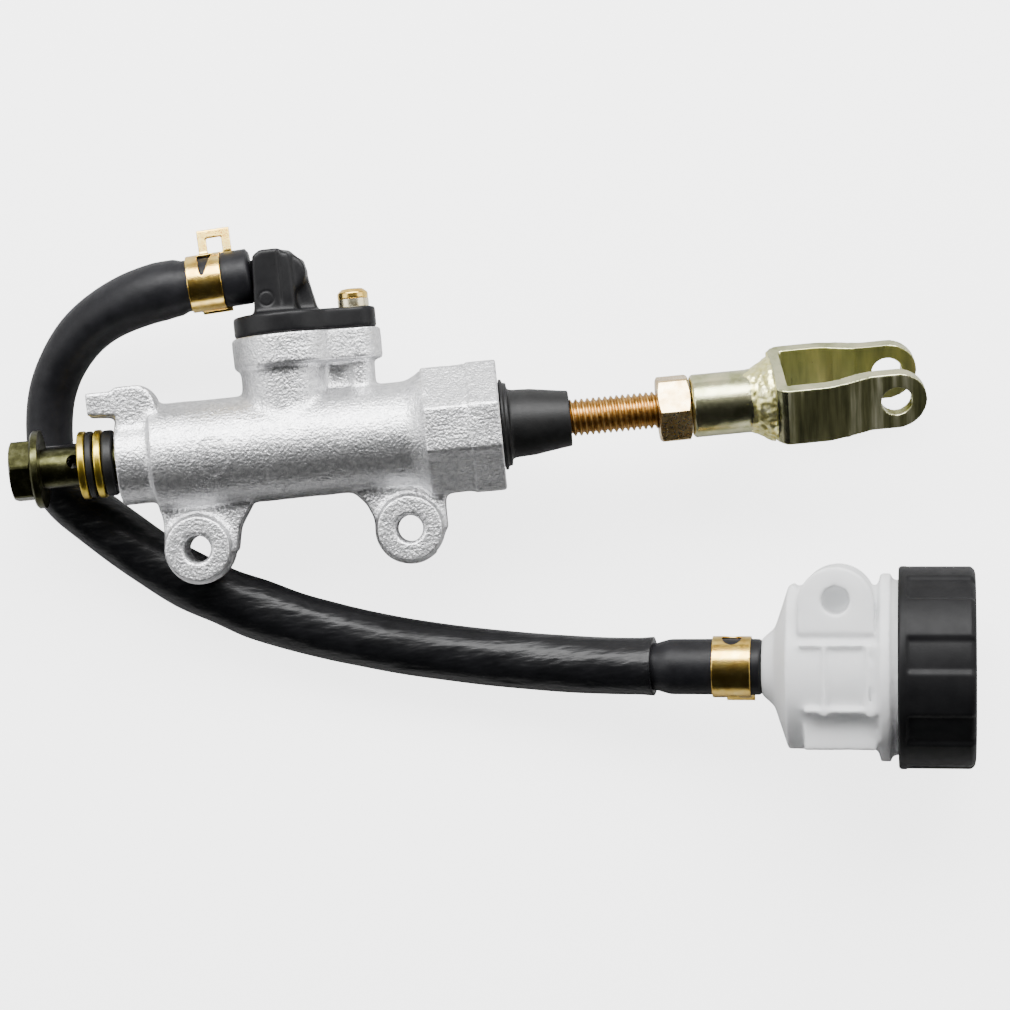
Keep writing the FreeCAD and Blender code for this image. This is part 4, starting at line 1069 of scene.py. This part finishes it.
outlet_way = np.array(ROUTE[-1]) - np.array(ROUTE[-2])
outlet_way /= np.linalg.norm(outlet_way)
OUTLET_CLAMP = frame_at(np.array(ROUTE[-1]) / MM - outlet_way * 10.6, outlet_way)
outlet_sources = [band_solid(OUTLET_CLAMP, 6.6, 8.3, 0.5, reservoir_cut)]
turn = math.radians(-135)
BACK_CLAMP = (
    OUTLET_CLAMP[0],
    OUTLET_CLAMP[1]
    @ np.array([[1, 0, 0], [0, math.cos(turn), -math.sin(turn)], [0, math.sin(turn), math.cos(turn)]]),
)
outlet_sources += tab_solids(BACK_CLAMP, 2.4, 8.6, 6.0, 11.2, 1.6, 0.0, 0.6)
outlet_clamp = sculpted("reservoir_clamp_skin", outlet_sources, 0.14, 6, 3)
finish_piece(outlet_clamp, GOLD, "clamp_gold", "housing")
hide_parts("hose_clamp_reservoir")

# ---------------------------------------------------------------- banjo washers and the elbow's screw


def ring(name, start, end, inner, outer, round_off, material, slot, node):
    """A ring on the cylinder's axis with rounded rims, in place of one CAD node."""
    corners = [(start, inner), (start, outer), (end, outer), (end, inner), (start, inner)]
    piece = lathe(name, rounded(corners, round_off), ROD, material, slot, "banjo_seals", 96)
    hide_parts(node)


ring("outer_washer_ring", -45.9, -44.25, 5.0, 7.25, 0.5, BRASS, "brass_ring", "banjo_washer_outer")
ring("outer_seal_ring", -44.2, -42.8, 5.0, 7.1, 0.45, RUBBER, "black_rubber", "banjo_seal_outer")
ring("inner_washer_ring", -42.45, -40.8, 5.0, 7.25, 0.5, BRASS, "brass_ring", "banjo_washer_inner")
ring("inner_seal_ring", -40.75, -38.4, 5.0, 7.0, 0.7, RUBBER, "black_rubber", "banjo_seal_inner")

screw = sculpted("screw_skin", [NODES["elbow_screw"]], 0.12, 0, 7)
finish_piece(screw, GOLD, "zinc_bright", "housing")
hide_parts("elbow_screw")

# ---------------------------------------------------------------- clevis

TWIST = math.radians(29.6)
ACROSS = np.array([0, -math.sin(TWIST), math.cos(TWIST)])


def clevis_keep(points):
    """The barrel's open end and the pin hole stay crisp."""
    crisp = smoothstep(86.0, 85.4, points[:, 0])
    pin = near_axis(points, (127.3, 20, 8.5), ACROSS, 3.9)
    return np.maximum(crisp, smoothstep(-0.2, 0.2, pin))


clevis = sculpted(
    "clevis_skin",
    [NODES["clevis_barrel"], NODES["clevis_weld"], NODES["clevis_fork"]],
    0.24,
    46,
    2,
    clevis_keep,
)


def bend_arms(points):
    """The two arms step in along soft curves."""
    depth = (points - np.array(AXIS)) @ ACROSS
    x = points[:, 0]
    soft = smoothstep(111.6, 122.8, x)
    straight = np.clip((x - 115.85) / 5.1, 0, 1)
    arm = smoothstep(0.5, 3.0, np.abs(depth)) * (x > 106)
    move = np.where(depth > 0, -3.0, 2.1) * (soft - straight) * arm
    return points + np.outer(move, ACROSS)


def weld_relief(points, normals):
    """Drips and ripples of the weld around the barrel's end."""
    x = points[:, 0]
    out = np.linalg.norm((points - np.array(AXIS))[:, 1:], axis=1)
    zone = smoothstep(95.6, 97.6, x + 1.2 * lumps(points, 2.6, 41))
    zone = zone * smoothstep(102.4, 101.2, x) * (out > 6.2)
    return zone * (0.32 * np.abs(lumps(points, 1.9, 42)) + 0.16 * lumps(points, 0.8, 43)), zone


clevis_points = get_points(clevis.data)
clevis_normals = get_normals(clevis.data)
raised, weld_zone = weld_relief(clevis_points, clevis_normals)
grain = 0.02 * lumps(clevis_points, 2.0, 44)
set_points(clevis.data, bend_arms(clevis_points + clevis_normals * (raised + grain)[:, None]))
finish_piece(clevis, IRIDESCENT, "zinc_iridescent", "clevis_group")
clevis.data.materials.append(WELD)
clevis.data.materials.append(FORK_FACE_PAINTED_SHADE)
clevis.data.materials.append(FORK_INNER_PAINTED_SHADE)
# Fork faces that face along the pin are coloured by which way they face, as painted shade: the outer faces
# near black, the inner faces darker than the rest of the zinc. Faces in the weld zone take the weld's own
# colour.
for face in clevis.data.polygons:
    middle = np.array(face.center) / MM
    depth = float((middle - np.array(AXIS)) @ ACROSS)
    tilt = float(np.array(face.normal) @ ACROSS)
    if np.mean(weld_zone[list(face.vertices)]) > 0.35:
        face.material_index = 1
    elif middle[0] > 104 and abs(tilt) > 0.8:
        face.material_index = 2 if tilt * depth > 0 and abs(depth) > 3.2 else 3
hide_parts("clevis_barrel", "clevis_weld", "clevis_fork")
